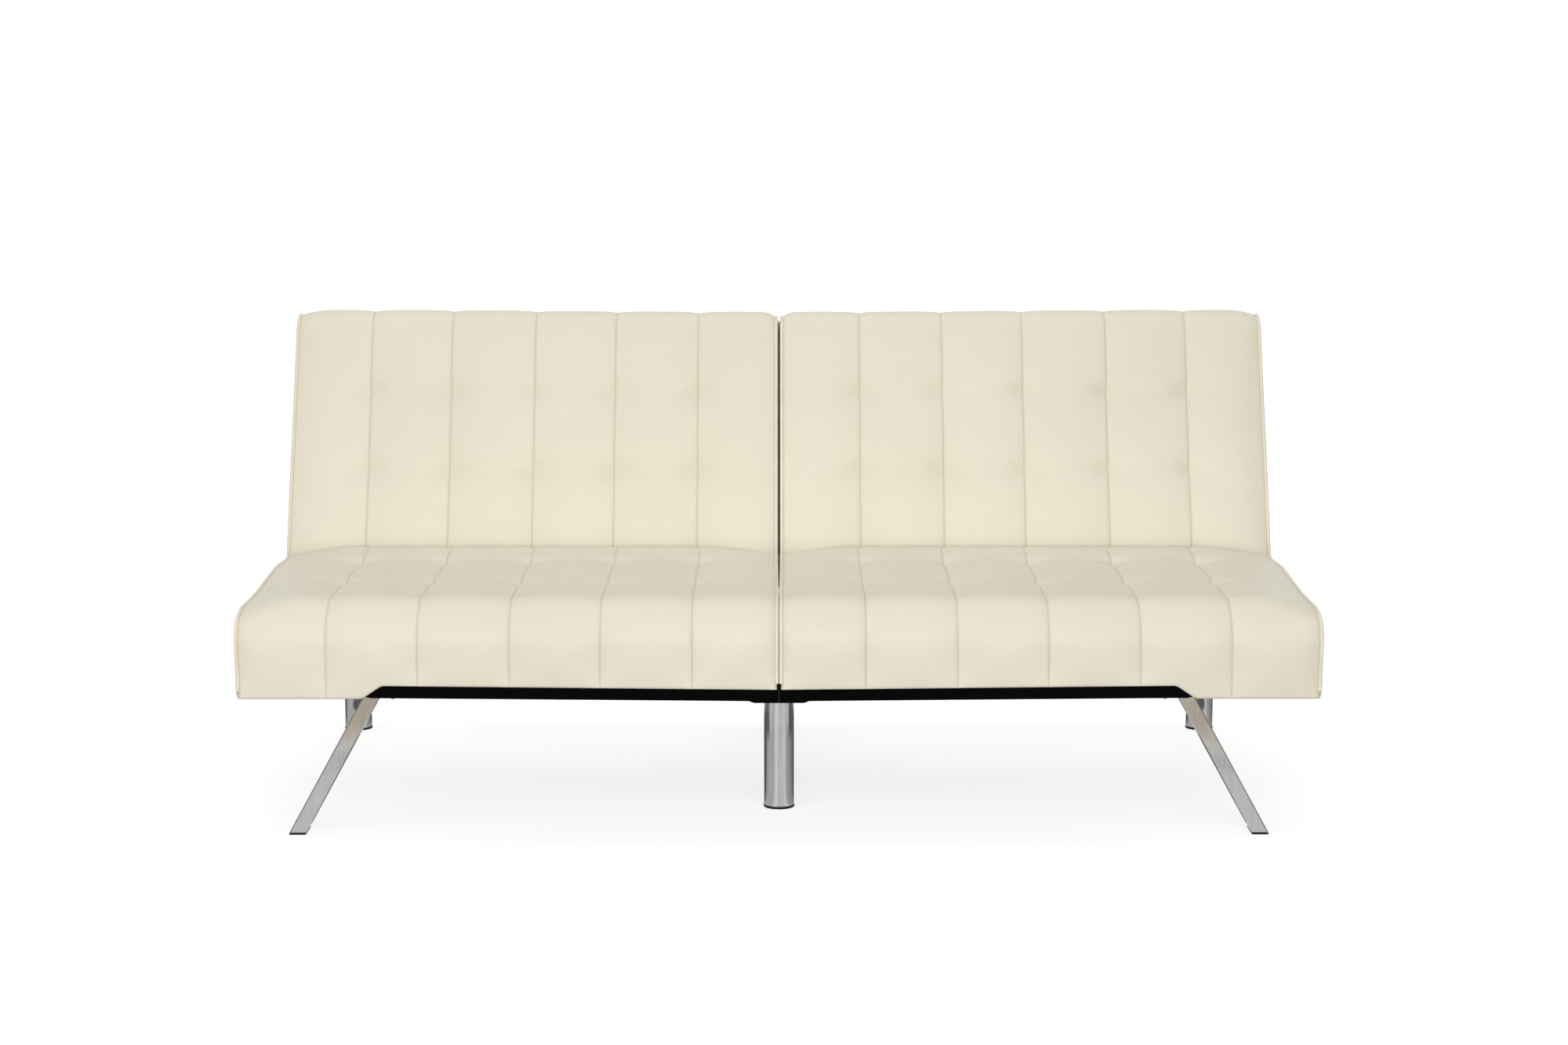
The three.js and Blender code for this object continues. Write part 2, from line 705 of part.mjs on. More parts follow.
function backRails() {
  const depth = [railFront, railFront + railDepth];
  const heights = [coverFaceWall + contactGap, backFoamTop - contactGap];
  const innerRailX = hingeX.inner + hingePack;
  const outerRailX = hingeX.outer + hingePack;
  const crossInnerX = innerRailX + sideRailWidth + contactGap;
  const armFaceX = hingeX.outer + hingePlate;
  const lowerZ = armPocketTop + contactGap;
  return {
    back_inner_rail: block([innerRailX, innerRailX + sideRailWidth], depth, heights),
    back_outer_rail: block([outerRailX, outerRailX + sideRailWidth], depth, heights),
    back_top_rail: block(
      [crossInnerX, outerRailX - contactGap], depth, [heights[1] - topRailHeight, heights[1]]),
    back_lower_rail: block([crossInnerX, armFaceX], depth, [lowerZ, lowerZ + lowerRailHeight]),
  };
}

// Assembly

function piece(parent, name, geometry, finish, place = [0, 0, 0]) {
  const mesh = new THREE.Mesh(geometry, new THREE.MeshStandardMaterial(finish));
  mesh.name = name;
  mesh.position.set(...place);
  parent.add(mesh);
}

function addHalf(parent, side) {
  piece(parent, `seat_cover_${side}`, seatCover(), imitationLeather);
  piece(parent, `seat_foam_${side}`, seatFoam(), foam);
  piece(parent, `seat_deck_${side}`, seatDeck(), timber);
  piece(parent, `seat_dust_cover_${side}`, dustCover(), blackFabric);
  for (const [name, geometry] of Object.entries(baseTubes())) {
    piece(parent, `${name}_${side}`, geometry, blackSteel);
  }
  piece(parent, `leg_slanted_${side}`, slantedLeg(), chrome);
  piece(parent, `foot_pad_${side}`, footPad(), blackPlastic);
  piece(parent, `leg_rear_${side}`, roundLeg(runnerBottomZ - contactGap, rearPlateSize), chrome,
    [roundLegX, rearLegY, 0]);
  piece(parent, `foot_cap_rear_${side}`, footCap(), blackPlastic, [roundLegX, rearLegY, 0]);
  for (const [place, x] of Object.entries(hingeX)) {
    piece(parent, `hinge_bracket_${place}_${side}`, hingeBracket(x), blackSteel);
    piece(parent, `hinge_pin_${place}_${side}`, hingePin(x), zincSteel);
  }
}

function addBack(parent, side) {
  piece(parent, `back_cover_${side}`, backCover(), imitationLeather);
  piece(parent, `back_foam_${side}`, backFoam(), foam);
  piece(parent, `back_deck_${side}`, backBoard(backDeckFront, backDeckThickness, armPocket), timber);
  piece(parent, `back_rear_panel_${side}`, backBoard(rearPanelFront, rearPanelThickness, sweepPocket),
    imitationLeather);
  for (const [name, geometry] of Object.entries(backRails())) {
    piece(parent, `${name}_${side}`, geometry, timber);
  }
  for (const [place, x] of Object.entries(hingeX)) {
    piece(parent, `hinge_arm_${place}_${side}`, hingeArm(x), zincSteel);
  }
}

const sofa = new THREE.Group();
sofa.position.y = -overallDepth / 2;

for (const [side, mirror] of [['left', -1], ['right', 1]]) {
  const half = new THREE.Group();
  half.scale.x = mirror;
  addHalf(half, side);
  const back = new THREE.Group();
  back.position.set(0, backEndY, backEndZ);
  back.rotation.x = -backLean;
  addBack(back, side);
  half.add(back);
  sofa.add(half);
}

const centreLegs = {
  front: { y: centreFrontLegY, topZ: runnerBottomZ - 2 * contactGap - fabricThickness },
  rear: { y: rearLegY, topZ: runnerBottomZ - contactGap },
};
for (const [place, { y, topZ }] of Object.entries(centreLegs)) {
  piece(sofa, `leg_centre_${place}`, roundLeg(topZ, centrePlateWidth), chrome, [0, y, 0]);
  piece(sofa, `foot_cap_centre_${place}`, footCap(), blackPlastic, [0, y, 0]);
}

export default sofa;
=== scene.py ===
import math

import bmesh
import bpy
from mathutils import Matrix, Vector, noise


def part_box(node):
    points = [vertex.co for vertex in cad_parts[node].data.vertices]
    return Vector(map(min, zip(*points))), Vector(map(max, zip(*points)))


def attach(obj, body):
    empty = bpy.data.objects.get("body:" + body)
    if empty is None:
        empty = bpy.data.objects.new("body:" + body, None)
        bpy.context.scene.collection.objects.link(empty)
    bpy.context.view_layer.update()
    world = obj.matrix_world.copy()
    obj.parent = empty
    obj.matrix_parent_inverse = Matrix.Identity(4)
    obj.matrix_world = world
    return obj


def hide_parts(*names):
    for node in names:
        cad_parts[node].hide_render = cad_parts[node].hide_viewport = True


# A click clack sofa bed: two quilted seats on one steel base, and two quilted backs that each recline.
# Metres, +Z up, the front faces -Y. Outlines run from front to rear and upward, from the seat's front.

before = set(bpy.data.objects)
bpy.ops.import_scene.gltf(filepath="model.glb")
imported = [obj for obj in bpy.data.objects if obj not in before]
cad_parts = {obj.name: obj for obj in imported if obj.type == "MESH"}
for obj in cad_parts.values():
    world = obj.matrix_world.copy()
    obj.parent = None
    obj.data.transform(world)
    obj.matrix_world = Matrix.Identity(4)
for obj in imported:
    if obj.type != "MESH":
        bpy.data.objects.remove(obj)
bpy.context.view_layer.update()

# Places across the width
HALF_INNER, HALF_OUTER = 0.002, 0.870
CHANNELS = 6
CHANNEL = (HALF_OUTER - HALF_INNER) / CHANNELS
SEAT_SEAMS = (0.1390, 0.2855, 0.4310, 0.5775, 0.7235)
BACK_SEAMS = (0.1455, 0.2940, 0.4390, 0.5885, 0.7325)
SEAM_STEPS = (0, 0.0015, 0.004, 0.009, 0.018, 0.032, 0.050)
CAVITY = (0.022, 0.850)

# Places from front to rear and upward
FRONT_Y = -0.438
LEAN = math.radians(20)
BACK_END = Vector((0.51016, 0.33550))
BACK_LENGTH, BACK_THICKNESS = 0.506, 0.115
SEAT_FRONT_TOP, SEAT_REAR_TOP = 0.384, 0.390
SKIRT_LOW, SKIRT_HIGH, SKIRT_FREE = 0.2275, 0.2486, 0.309
FRONT_ROUNDING = 0.075
SEAT_TO_BACK = 0.0075 / math.cos(LEAN)
NOTCH = (0.635, 0.666)
HINGES = {"inner": 0.030, "outer": 0.8141}
BASE = ("base", "base")
BACKS = ("back_right", "back_left")

# Quilting
SEAM_SINK, GROOVE_SINK, EDGE_SINK = 0.0040, 0.0013, 0.0040
SEAT_TUFT_ROWS = (0.2253, 0.4150)
BACK_TUFT_ROWS = (0.2059, 0.3478)
SEAT_TUFT, BACK_TUFT = (0.0145, 0.0055), (0.0085, 0.0022)
PIPING_RADIUS = 0.0031
STITCH = 0.0046
PRESSURE_STEPS, MOST_SHIFT = 18, 0.004

# Legs
TUBE_BORE, TUBE_RADIUS = 0.0235, 0.0250
PLATE, PLATE_EDGE = 0.004, 0.0008


# Small tools

def smooth(low, high, value):
    share = min(max((value - low) / (high - low), 0), 1)
    return share * share * (3 - 2 * share)


def mix(a, b, share):
    return a + (b - a) * share


def mesh_from(name, bm):
    mesh = bpy.data.meshes.new(name)
    bm.to_mesh(mesh)
    bm.free()
    return mesh


def linked(name, data):
    """A new object of the scene that holds a mesh, curve, lamp or camera."""
    made = bpy.data.objects.new(name, data)
    bpy.context.scene.collection.objects.link(made)
    return made


def add_piece(name, mesh, finishes, body, slot, replaces=(), shade_angle=35, rigid=True):
    """One piece of the visual model, riding on a body. Rigid pieces keep their flat faces flat."""
    piece = linked(name, mesh)
    mesh.materials.clear()
    for finish in finishes:
        mesh.materials.append(finish)
    mesh.shade_smooth()
    mesh.set_sharp_from_angle(angle=math.radians(shade_angle))
    if rigid:
        piece.modifiers.new("flat faces", "WEIGHTED_NORMAL").keep_sharp = True
    if replaces:
        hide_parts(*replaces)
    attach(piece, body)
    return piece


def mirrored(mesh):
    """The same mesh on the other side of the sofa's middle plane."""
    bm = bmesh.new()
    bm.from_mesh(mesh)
    bmesh.ops.scale(bm, vec=(-1, 1, 1), verts=bm.verts)
    bmesh.ops.reverse_faces(bm, faces=bm.faces)
    return mesh_from(mesh.name, bm)


def settled(piece):
    """The mesh that the piece's modifiers make."""
    graph = bpy.context.evaluated_depsgraph_get()
    return bpy.data.meshes.new_from_object(
        piece.evaluated_get(graph), preserve_all_data_layers=True, depsgraph=graph)


def worked(mesh, *changes):
    """The mesh after changes made by modifiers, each given as (kind, settings)."""
    holder = linked("work", mesh)
    for kind, settings in changes:
        modifier = holder.modifiers.new(kind, kind)
        for key, value in settings.items():
            setattr(modifier, key, value)
    bpy.context.view_layer.update()
    result = settled(holder)
    bpy.data.objects.remove(holder)
    return result


def soften(bm, edges, offset, segments):
    bmesh.ops.bevel(bm, geom=edges, offset=offset, segments=segments, profile=0.5,
                    affect="EDGES", material=-1)


def add_block(bm, low, high, bevel=0.0, segments=2):
    """Adds a box between two corners, with rounded edges."""
    low, high = Vector(low), Vector(high)
    made = bmesh.ops.create_cube(bm, size=1)["verts"]
    bmesh.ops.scale(bm, vec=high - low, verts=made)
    bmesh.ops.translate(bm, vec=(low + high) / 2, verts=made)
    if bevel:
        soften(bm, list({edge for vert in made for edge in vert.link_edges}), bevel, segments)


def sheet_of_faces(steps_x, steps_y, size=0.5):
    """A flat grid that reaches size to each side of the origin."""
    bm = bmesh.new()
    bmesh.ops.create_grid(bm, x_segments=steps_x, y_segments=steps_y, size=size)
    return bm


def add_turned(bm, outline, centre, steps=96):
    """Adds an outline of (radius, height) points turned about the upright axis through centre."""
    verts = [bm.verts.new((radius, 0, height)) for radius, height in outline]
    edges = [bm.edges.new(pair) for pair in zip(verts, verts[1:])]
    bmesh.ops.spin(bm, geom=verts + edges, cent=(0, 0, 0), axis=(0, 0, 1), dvec=(0, 0, 0),
                   angle=math.tau, steps=steps, use_merge=True, use_duplicate=False)
    made = connected(verts[0])
    bmesh.ops.remove_doubles(bm, verts=made, dist=1e-6)
    made = [vert for vert in made if vert.is_valid]
    bmesh.ops.translate(bm, vec=centre, verts=made)
    bmesh.ops.recalc_face_normals(bm, faces=list({face for vert in made for face in vert.link_faces}))


def connected(vert):
    found, waiting = {vert}, [vert]
    while waiting:
        for edge in waiting.pop().link_edges:
            for other in edge.verts:
                if other not in found:
                    found.add(other)
                    waiting.append(other)
    return list(found)


def rounded(radius, height_low, height_high, soft, steps=4):
    """Outline points of a turned disc with soft outer edges, from its low centre to its high centre."""
    points = [(0, height_low)]
    for k in range(steps + 1):
        turn = math.pi / 2 * k / steps
        points.append((radius - soft + soft * math.sin(turn), height_low + soft - soft * math.cos(turn)))
    for k in range(steps + 1):
        turn = math.pi / 2 * k / steps
        points.append((radius - soft + soft * math.cos(turn), height_high - soft + soft * math.sin(turn)))
    return points + [(0, height_high)]


# Materials

def material(name, colour, roughness, metallic=0.0):
    """A material, and the object's own coordinates, so that its patterns stay with the piece."""
    made = bpy.data.materials.new(name)
    made.use_nodes = True
    sockets(made)["Base Color"].default_value = srgb(colour)
    sockets(made)["Roughness"].default_value = roughness
    sockets(made)["Metallic"].default_value = metallic
    return made, object_place(made.node_tree)


def sockets(made):
    return made.node_tree.nodes["Principled BSDF"].inputs


def fed(made, tone, roughness, surface):
    """The material with its colour, roughness and surface taken from nodes."""
    for socket, source in (("Base Color", tone), ("Roughness", roughness), ("Normal", surface)):
        made.node_tree.links.new(source, sockets(made)[socket])
    return made


def srgb(colour):
    def linear(level):
        share = level / 255
        return share / 12.92 if share <= 0.04045 else ((share + 0.055) / 1.055) ** 2.4
    return (*(linear(level) for level in colour), 1)


def node(tree, kind, links=(), **settings):
    """A shader node with its settings, and the (input, value or output socket) pairs that feed it."""
    made = tree.nodes.new(kind)
    for key, value in settings.items():
        setattr(made, key, value)
    for socket, source in links:
        if isinstance(source, bpy.types.NodeSocket):
            tree.links.new(source, made.inputs[socket])
        else:
            made.inputs[socket].default_value = source
    return made


def grain(place, scale, detail=3.0, roughness=0.5, stretch=None):
    """A noise pattern between 0 and 1."""
    if stretch:
        mapping = node(place.id_data, "ShaderNodeMapping", [("Vector", place), ("Scale", stretch)])
        place = mapping.outputs["Vector"]
    return node(place.id_data, "ShaderNodeTexNoise", [
        ("Vector", place), ("Scale", scale), ("Detail", detail), ("Roughness", roughness),
    ]).outputs["Fac"]


def between(value, low, high, soft_low=0.3, soft_high=0.7):
    """A value spread from low to high."""
    return node(value.id_data, "ShaderNodeMapRange", [
        ("Value", value), ("From Min", soft_low), ("From Max", soft_high),
        ("To Min", low), ("To Max", high),
    ]).outputs["Result"]


def tinted(share, first, second):
    return node(share.id_data, "ShaderNodeMix", [
        (0, share), (6, first if isinstance(first, bpy.types.NodeSocket) else srgb(first)),
        (7, second if isinstance(second, bpy.types.NodeSocket) else srgb(second)),
    ], data_type="RGBA").outputs[2]


def maths(operation, *values):
    tree = next(value.id_data for value in values if isinstance(value, bpy.types.NodeSocket))
    return node(tree, "ShaderNodeMath", list(enumerate(values)), operation=operation).outputs[0]


def distance_from(value, middle_value):
    return maths("ABSOLUTE", maths("SUBTRACT", value, middle_value))


def pebbles(place, scale, **settings):
    """The distance to the nearest point of a cell pattern."""
    cells = node(place.id_data, "ShaderNodeTexVoronoi", [("Vector", place), ("Scale", scale)], **settings)
    return cells.outputs["Distance"]


def bump(height, strength, distance, under=None):
    links = [("Height", height), ("Strength", strength), ("Distance", distance)]
    if under:
        links.append(("Normal", under))
    return node(height.id_data, "ShaderNodeBump", links).outputs["Normal"]


def object_place(tree):
    return node(tree, "ShaderNodeTexCoord").outputs["Object"]


def imitation_leather():
    """Vanilla imitation leather: pebbled grain, soft tone changes, thread along the channel seams, and
    painted shade along the seams and beside the piping.
    """
    made, place = material("imitation leather", (231, 225, 206), 0.46)
    cover = node(made.node_tree, "ShaderNodeUVMap", uv_map="cover").outputs["UV"]
    flat = node(made.node_tree, "ShaderNodeSeparateXYZ", [("Vector", cover)]).outputs
    turns = maths("FRACT", maths("MULTIPLY_ADD", flat["X"], 1 / CHANNEL, 0.5))
    from_seam = maths("MULTIPLY", distance_from(turns, 0.5), CHANNEL)
    in_stitch = maths("FRACT", maths("MULTIPLY", flat["Y"], 1 / STITCH))
    thread_length = between(distance_from(in_stitch, 0.5), 1, 0, 0.34, 0.42)
    thread_width = between(from_seam, 1, 0, 0.0003, 0.00055)
    thread = maths("MULTIPLY", thread_length, thread_width)

    patches = between(grain(place, 3.5, 2), 0, 1)
    speckle = between(grain(place, 420, 2), 0, 0.35)
    # Painted shade: a darker olive line along each seam, and a wider one beside the piping at both outer
    # edges.
    painted_seam_shade = between(from_seam, 0.42, 0, 0.0003, 0.0022)
    half_width = CHANNELS * CHANNEL / 2
    from_edge = distance_from(distance_from(flat["X"], half_width), half_width)
    painted_edge_shade = between(from_edge, 0.6, 0, 0.0030, 0.0062)
    on_thread = maths("MULTIPLY", thread, 0.8)
    tone = tinted(patches, (233, 227, 208), (229, 222, 202))
    for share, colour in ((speckle, (223, 215, 193)), (painted_seam_shade, (203, 193, 160)),
                          (painted_edge_shade, (200, 190, 152)), (on_thread, (226, 216, 188))):
        tone = tinted(share, tone, colour)

    creases = grain(place, 34, 4, 0.6, (1, 1.6, 1.6))
    surface = bump(pebbles(place, 620.0, feature="F1"), 0.22, 0.0005)
    surface = bump(creases, 0.10, 0.0022, surface)
    surface = bump(thread, 0.9, 0.0006, surface)
    sockets(made)["Sheen Weight"].default_value = 0.08
    return fed(made, tone, between(grain(place, 60, 3), 0.40, 0.54), surface)


def piping_leather():
    """The narrow strip sewn round a cord along each edge, with soft patches of a little yellower tone."""
    made, place = material("piping leather", (233, 226, 206), 0.42)
    patches = between(grain(place, 22, 3), 0, 1)
    tone = tinted(patches, (236, 230, 211), (230, 222, 201))
    surface = bump(pebbles(place, 700.0), 0.2, 0.0004)
    return fed(made, tone, between(grain(place, 90), 0.36, 0.5), surface)


def black_fabric():
    """Spun black lining: a matted surface with fine fibres and a pressed dot pattern."""
    made, place = material("black fabric", (6, 5, 5), 0.92)
    sockets(made)["Specular IOR Level"].default_value = 0.04
    fibres = grain(place, 900, 4, 0.7, (1, 0.35, 1))
    tone = tinted(between(fibres, 0, 1), (3, 3, 3), (9, 8, 8))
    dots = node(made.node_tree, "ShaderNodeTexVoronoi", [
        ("Vector", place), ("Scale", 480.0), ("Randomness", 0.15)]).outputs["Distance"]
    surface = bump(dots, 0.35, 0.0004)
    surface = bump(fibres, 0.3, 0.0003, surface)
    return fed(made, tone, between(fibres, 0.82, 0.98), surface)


def chrome():
    """Bright plated steel with faint polishing lines along the tube and fingermarks."""
    made, place = material("chrome", (206, 206, 205), 0.1, 1.0)
    lines = grain(place, 60, 5, 0.65, (6, 6, 0.12))
    marks = grain(place, 26, 4, 0.6)
    tone = tinted(between(lines, 0, 1), (214, 214, 213), (196, 196, 196))
    return fed(made, tone, between(marks, 0.07, 0.17), bump(lines, 0.04, 0.0003))


def coated_steel():
    """Black powder coat with its orange-peel surface and a little dust."""
    made, place = material("black powder coat", (24, 25, 26), 0.45)
    peel = grain(place, 380, 2, 0.4)
    dust = grain(place, 14, 5, 0.7)
    tone = tinted(between(dust, 0, 1, 0.45, 0.8), (22, 23, 24), (42, 42, 41))
    return fed(made, tone, between(dust, 0.38, 0.6), bump(peel, 0.25, 0.0004))


def zinc_steel():
    """Zinc plate: cool grey with cloudy patches and rolling lines."""
    made, place = material("zinc plated steel", (158, 161, 165), 0.35, 1.0)
    clouds = grain(place, 70, 4, 0.6)
    lines = grain(place, 900, 2, 0.5, (1, 0.08, 1))
    tone = tinted(between(clouds, 0, 1), (172, 175, 178), (140, 144, 150))
    return fed(made, tone, between(clouds, 0.28, 0.46), bump(lines, 0.12, 0.0003))


def black_plastic():
    """Moulded black plastic with a fine spark texture and rubbed edges."""
    made, place = material("black plastic", (14, 14, 15), 0.5)
    sockets(made)["Specular IOR Level"].default_value = 0.3
    spark = grain(place, 1100, 2, 0.5)
    rubbed = grain(place, 90, 4, 0.6)
    tone = tinted(between(rubbed, 0, 1, 0.4, 0.75), (10, 10, 11), (24, 24, 24))
    return fed(made, tone, between(rubbed, 0.42, 0.62), bump(spark, 0.2, 0.0002))


def timber():
    """Planed softwood: growth lines along each rail, with darker late wood."""
    made, place = material("planed softwood", (190, 152, 104), 0.68)
    sway = grain(place, 5, 3, 0.5)
    tree = made.node_tree
    bent = node(tree, "ShaderNodeVectorMath", [(0, place), (1, sway)], operation="ADD").outputs["Vector"]
    lines = node(tree, "ShaderNodeTexWave", [
        ("Vector", bent), ("Scale", 34.0), ("Distortion", 3.0), ("Detail", 2.0), ("Detail Scale", 1.4),
    ], bands_direction="Y").outputs["Fac"]
    fibres = grain(place, 240, 4, 0.6, (0.2, 1, 1))
    tone = tinted(lines, (204, 168, 120), (170, 128, 82))
    tone = tinted(between(fibres, 0, 0.4), tone, (146, 106, 66))
    return fed(made, tone, between(fibres, 0.6, 0.8), bump(fibres, 0.3, 0.0005))


def plywood():
    """Thin board: pale veneer with long grain and a few darker streaks."""
    made, place = material("plywood", (205, 176, 132), 0.7)
    streaks = grain(place, 26, 5, 0.62, (0.12, 1, 1))
    fibres = grain(place, 420, 3, 0.6, (0.1, 1, 1))
    tone = tinted(between(streaks, 0, 1), (214, 186, 143), (186, 152, 106))
    tone = tinted(between(fibres, 0, 0.3), tone, (158, 122, 82))
    return fed(made, tone, between(streaks, 0.62, 0.8), bump(fibres, 0.25, 0.0003))


LEATHER = imitation_leather()
PIPING = piping_leather()
FABRIC = black_fabric()
CHROME = chrome()
COATED = coated_steel()
ZINC = zinc_steel()
PLASTIC = black_plastic()
TIMBER = timber()
PLYWOOD = plywood()


# Cushion outlines

def rounded_outline(corners):
    """A closed outline from (place, radius, step) corners. The step spaces the run that follows."""
    arcs = []
    for i, (at, radius, step) in enumerate(corners):
        at = Vector(at)
        before = (Vector(corners[i - 1][0]) - at).normalized()
        after = (Vector(corners[(i + 1) % len(corners)][0]) - at).normalized()
        if before.dot(after) < -0.9999:
            arcs.append([at])
            continue
        half = before.angle(after) / 2
        reach = radius / math.tan(half)
        centre = at + (before + after).normalized() * radius / math.sin(half)
        start, end = at + before * reach - centre, at + after * reach - centre
        sweep = math.atan2(start.x * end.y - start.y * end.x, start.dot(end))
        count = max(2, math.ceil(abs(sweep) * radius / min(step, 0.009)))
        arcs.append([centre + turned_by(start, sweep * k / count) for k in range(count + 1)])
    points = []
    for i, arc in enumerate(arcs):
        following = arcs[(i + 1) % len(arcs)][0]
        count = max(1, round((following - arc[-1]).length / corners[i][2]))
        points += arc + [arc[-1].lerp(following, k / count) for k in range(1, count)]
    return points


def turned_by(vector, angle):
    cos, sin = math.cos(angle), math.sin(angle)
    return Vector((vector.x * cos - vector.y * sin, vector.x * sin + vector.y * cos))


def outward(points):
    """The outward direction at each point of an outline."""
    area = sum(a.x * b.y - a.y * b.x for a, b in zip(points, points[1:] + points[:1]))
    side = math.copysign(1, area)
    chords = [(points[(i + 1) % len(points)] - points[i - 1]).normalized() for i in range(len(points))]
    return [Vector((chord.y, -chord.x)) * side for chord in chords]


def running_length(points):
    lengths = [0]
    for a, b in zip(points, points[1:]):
        lengths.append(lengths[-1] + (b - a).length)
    return lengths


# Stations across a cushion, as a count of channels from the inner edge

def stations(extra=()):
    steps = [step / CHANNEL for step in SEAM_STEPS]
    within = steps + [0.5] + [1 - step for step in reversed(steps[1:])]
    return sorted([k + share for k in range(CHANNELS) for share in within] + [CHANNELS, *extra])


SIDE_SHARES = (0.015, 0.04, 0.09, 0.17, 0.3, 0.5, 0.72, 0.9)


def tuft_sink(across, along, form):
    """How far the sewn tufts draw the cover in, each with a crease that runs to both sides."""
    deepest = 0
    seam = round(across)
    for k in (seam - 1, seam, seam + 1):
        if 0 < k < CHANNELS:
            dx = (across - k) * CHANNEL
            for row in form["rows"]:
                dy = along - row
                pinch = form["tuft"][0] * math.exp(-(dx / 0.024) ** 2 - (dy / 0.019) ** 2)
                crease = form["tuft"][1] * math.exp(-abs(dx) / 0.030 - (dy / 0.008) ** 2)
                deepest = max(deepest, pinch + crease)
    return deepest


def quilt_sink(across, along, form):
    """How far the quilting draws the cover in at a place on the face."""
    seam = round(across)
    from_seam = abs(across - seam) * CHANNEL
    crown = abs(2 * (across % 1) - 1) ** 4
    groove = GROOVE_SINK * math.exp(-(from_seam / 0.0014) ** 2) if 0 < seam < CHANNELS else 0
    from_edge = min(across, CHANNELS - across) * CHANNEL
    edge = EDGE_SINK * max(0, 1 - from_edge / 0.016) ** 2
    return SEAM_SINK * crown + groove + edge + tuft_sink(across, along, form)


def seam_sway(seam, along, seed):
    """Sewn lines wander by a millimetre or so."""
    return 0.0013 * noise.noise(Vector((seam * 7.3 + seed, along * 5.0, seed)))


def edge_distance(point, ring):
    nearest = 1.0
    for a, b in zip(ring, ring[1:] + ring[:1]):
        run = b - a
        share = min(max((point - a).dot(run) / max(run.length_squared, 1e-12), 0), 1)
        nearest = min(nearest, (point - a - run * share).length)
    return nearest


def rounded_side(at, distance):
    """How far the outer side has swelled to its full width at a distance from its edge."""
    return 1 - math.exp(-distance / 0.014)


def cushion_rings(form):
    """Rings of points from the middle of the inner side, across the face, to that of the outer side."""
    points, normals = form["points"], form["normals"]
    rings, widths = [], []
    for across in form["stations"]:
        k = min(int(across), CHANNELS - 1)
        ring = []
        for i, (at, normal) in enumerate(zip(points, normals)):
            along, face = form["along"](at), form["face"](at, normal)
            marks = [form["inner_edge"](at), *form["seams"], form["outer_edge"](at)]
            low, high = (marks[j] + (0 if j in (0, CHANNELS) else seam_sway(j, along, form["seed"]))
                         for j in (k, k + 1))
            x = mix(low, high, across - k)
            sunk = at - normal * quilt_sink(across, along, form) * face - Vector((0, form["droop"](x, at)))
            ring.append((x, form["settle"](sunk, x)))
        rings.append(ring)
        widths.append(across * CHANNEL)

    def side(ring, full, bulge_at, direction):
        flat = [at for _, at in ring]
        centre = sum(flat, Vector((0, 0))) / len(flat)
        made = []
        for share in SIDE_SHARES:
            moved = [at.lerp(centre, share) for at in flat]
            bulges = [bulge_at(at, edge_distance(at, flat)) for at in moved]
            made.append([(mix(x, full(at), bulge), at) for (x, _), at, bulge in zip(ring, moved, bulges)])
        reach = [direction * share * 0.06 for share in SIDE_SHARES]
        return made, reach

    inner, inner_reach = side(rings[0], form["inner_full"], form["closing"], -1)
    outer, outer_reach = side(rings[-1], form["outer_full"], rounded_side, 1)
    rings = inner[::-1] + rings + outer
    widths = [widths[0] + r for r in inner_reach[::-1]] + widths + [widths[-1] + r for r in outer_reach]
    return rings, widths


def lofted(name, rings, widths, lengths, place):
    """A closed mesh drawn out ring by ring, with the cover's flat sizes as its UV map."""
    count = len(rings[0])
    bm = bmesh.new()
    mark = bm.verts.layers.int.new("ring_place")
    start = [bm.verts.new(place(x, at)) for x, at in rings[0]]
    for i, vert in enumerate(start):
        vert[mark] = i
    end = bm.faces.new(start)
    for k, ring in enumerate(rings[1:], 1):
        grown = bmesh.ops.extrude_face_region(bm, geom=[end])["geom"]
        if k > 1:
            bmesh.ops.delete(bm, geom=[end], context="FACES_ONLY")
        end = next(part for part in grown if isinstance(part, bmesh.types.BMFace))
        for vert in end.verts:
            i = vert[mark] % count
            vert[mark] = k * count + i
            vert.co = place(*ring[i])
    ends = [face for face in bm.faces if len(face.verts) == count]
    for vert in bmesh.ops.poke(bm, faces=ends)["verts"]:
        vert[mark] = -1
    bmesh.ops.recalc_face_normals(bm, faces=bm.faces)

    cover = bm.loops.layers.uv.new("cover")
    for face in bm.faces:
        marks = [loop.vert[mark] for loop in face.loops]
        columns = {m % count for m in marks if m >= 0}
        wraps = {0, count - 1} <= columns
        for loop, m in zip(face.loops, marks):
            if m < 0:
                loop[cover].uv = (widths[0] if face.calc_center_median().x < 0.4 else widths[-1], 0)
                continue
            ring, column = divmod(m, count)
            length = lengths[-1] if wraps and column == 0 else lengths[column]
            loop[cover].uv = (widths[ring], length)
    return mesh_from(name, bm)


# Seat and back forms

def move_all(verts, place):
    for vert in verts:
        vert.co = place(vert.co.x, Vector(vert.co.yz))


def seat_place(x, at):
    return Vector((x, at.x + FRONT_Y, at.y))


def back_place(x, at):
    """A point of the back's own outline, at is (behind the face, along from the lower end)."""
    y = BACK_END.x + at.y * math.sin(LEAN) + at.x * math.cos(LEAN)
    z = BACK_END.y + at.y * math.cos(LEAN) - at.x * math.sin(LEAN)
    return Vector((x, y + FRONT_Y, z))


def hem_sag(x):
    """The lower edge and the lining hang a little lower towards the middle of the sofa."""
    return 0.0065 * (1 - min(max(x / NOTCH[0], 0), 1))


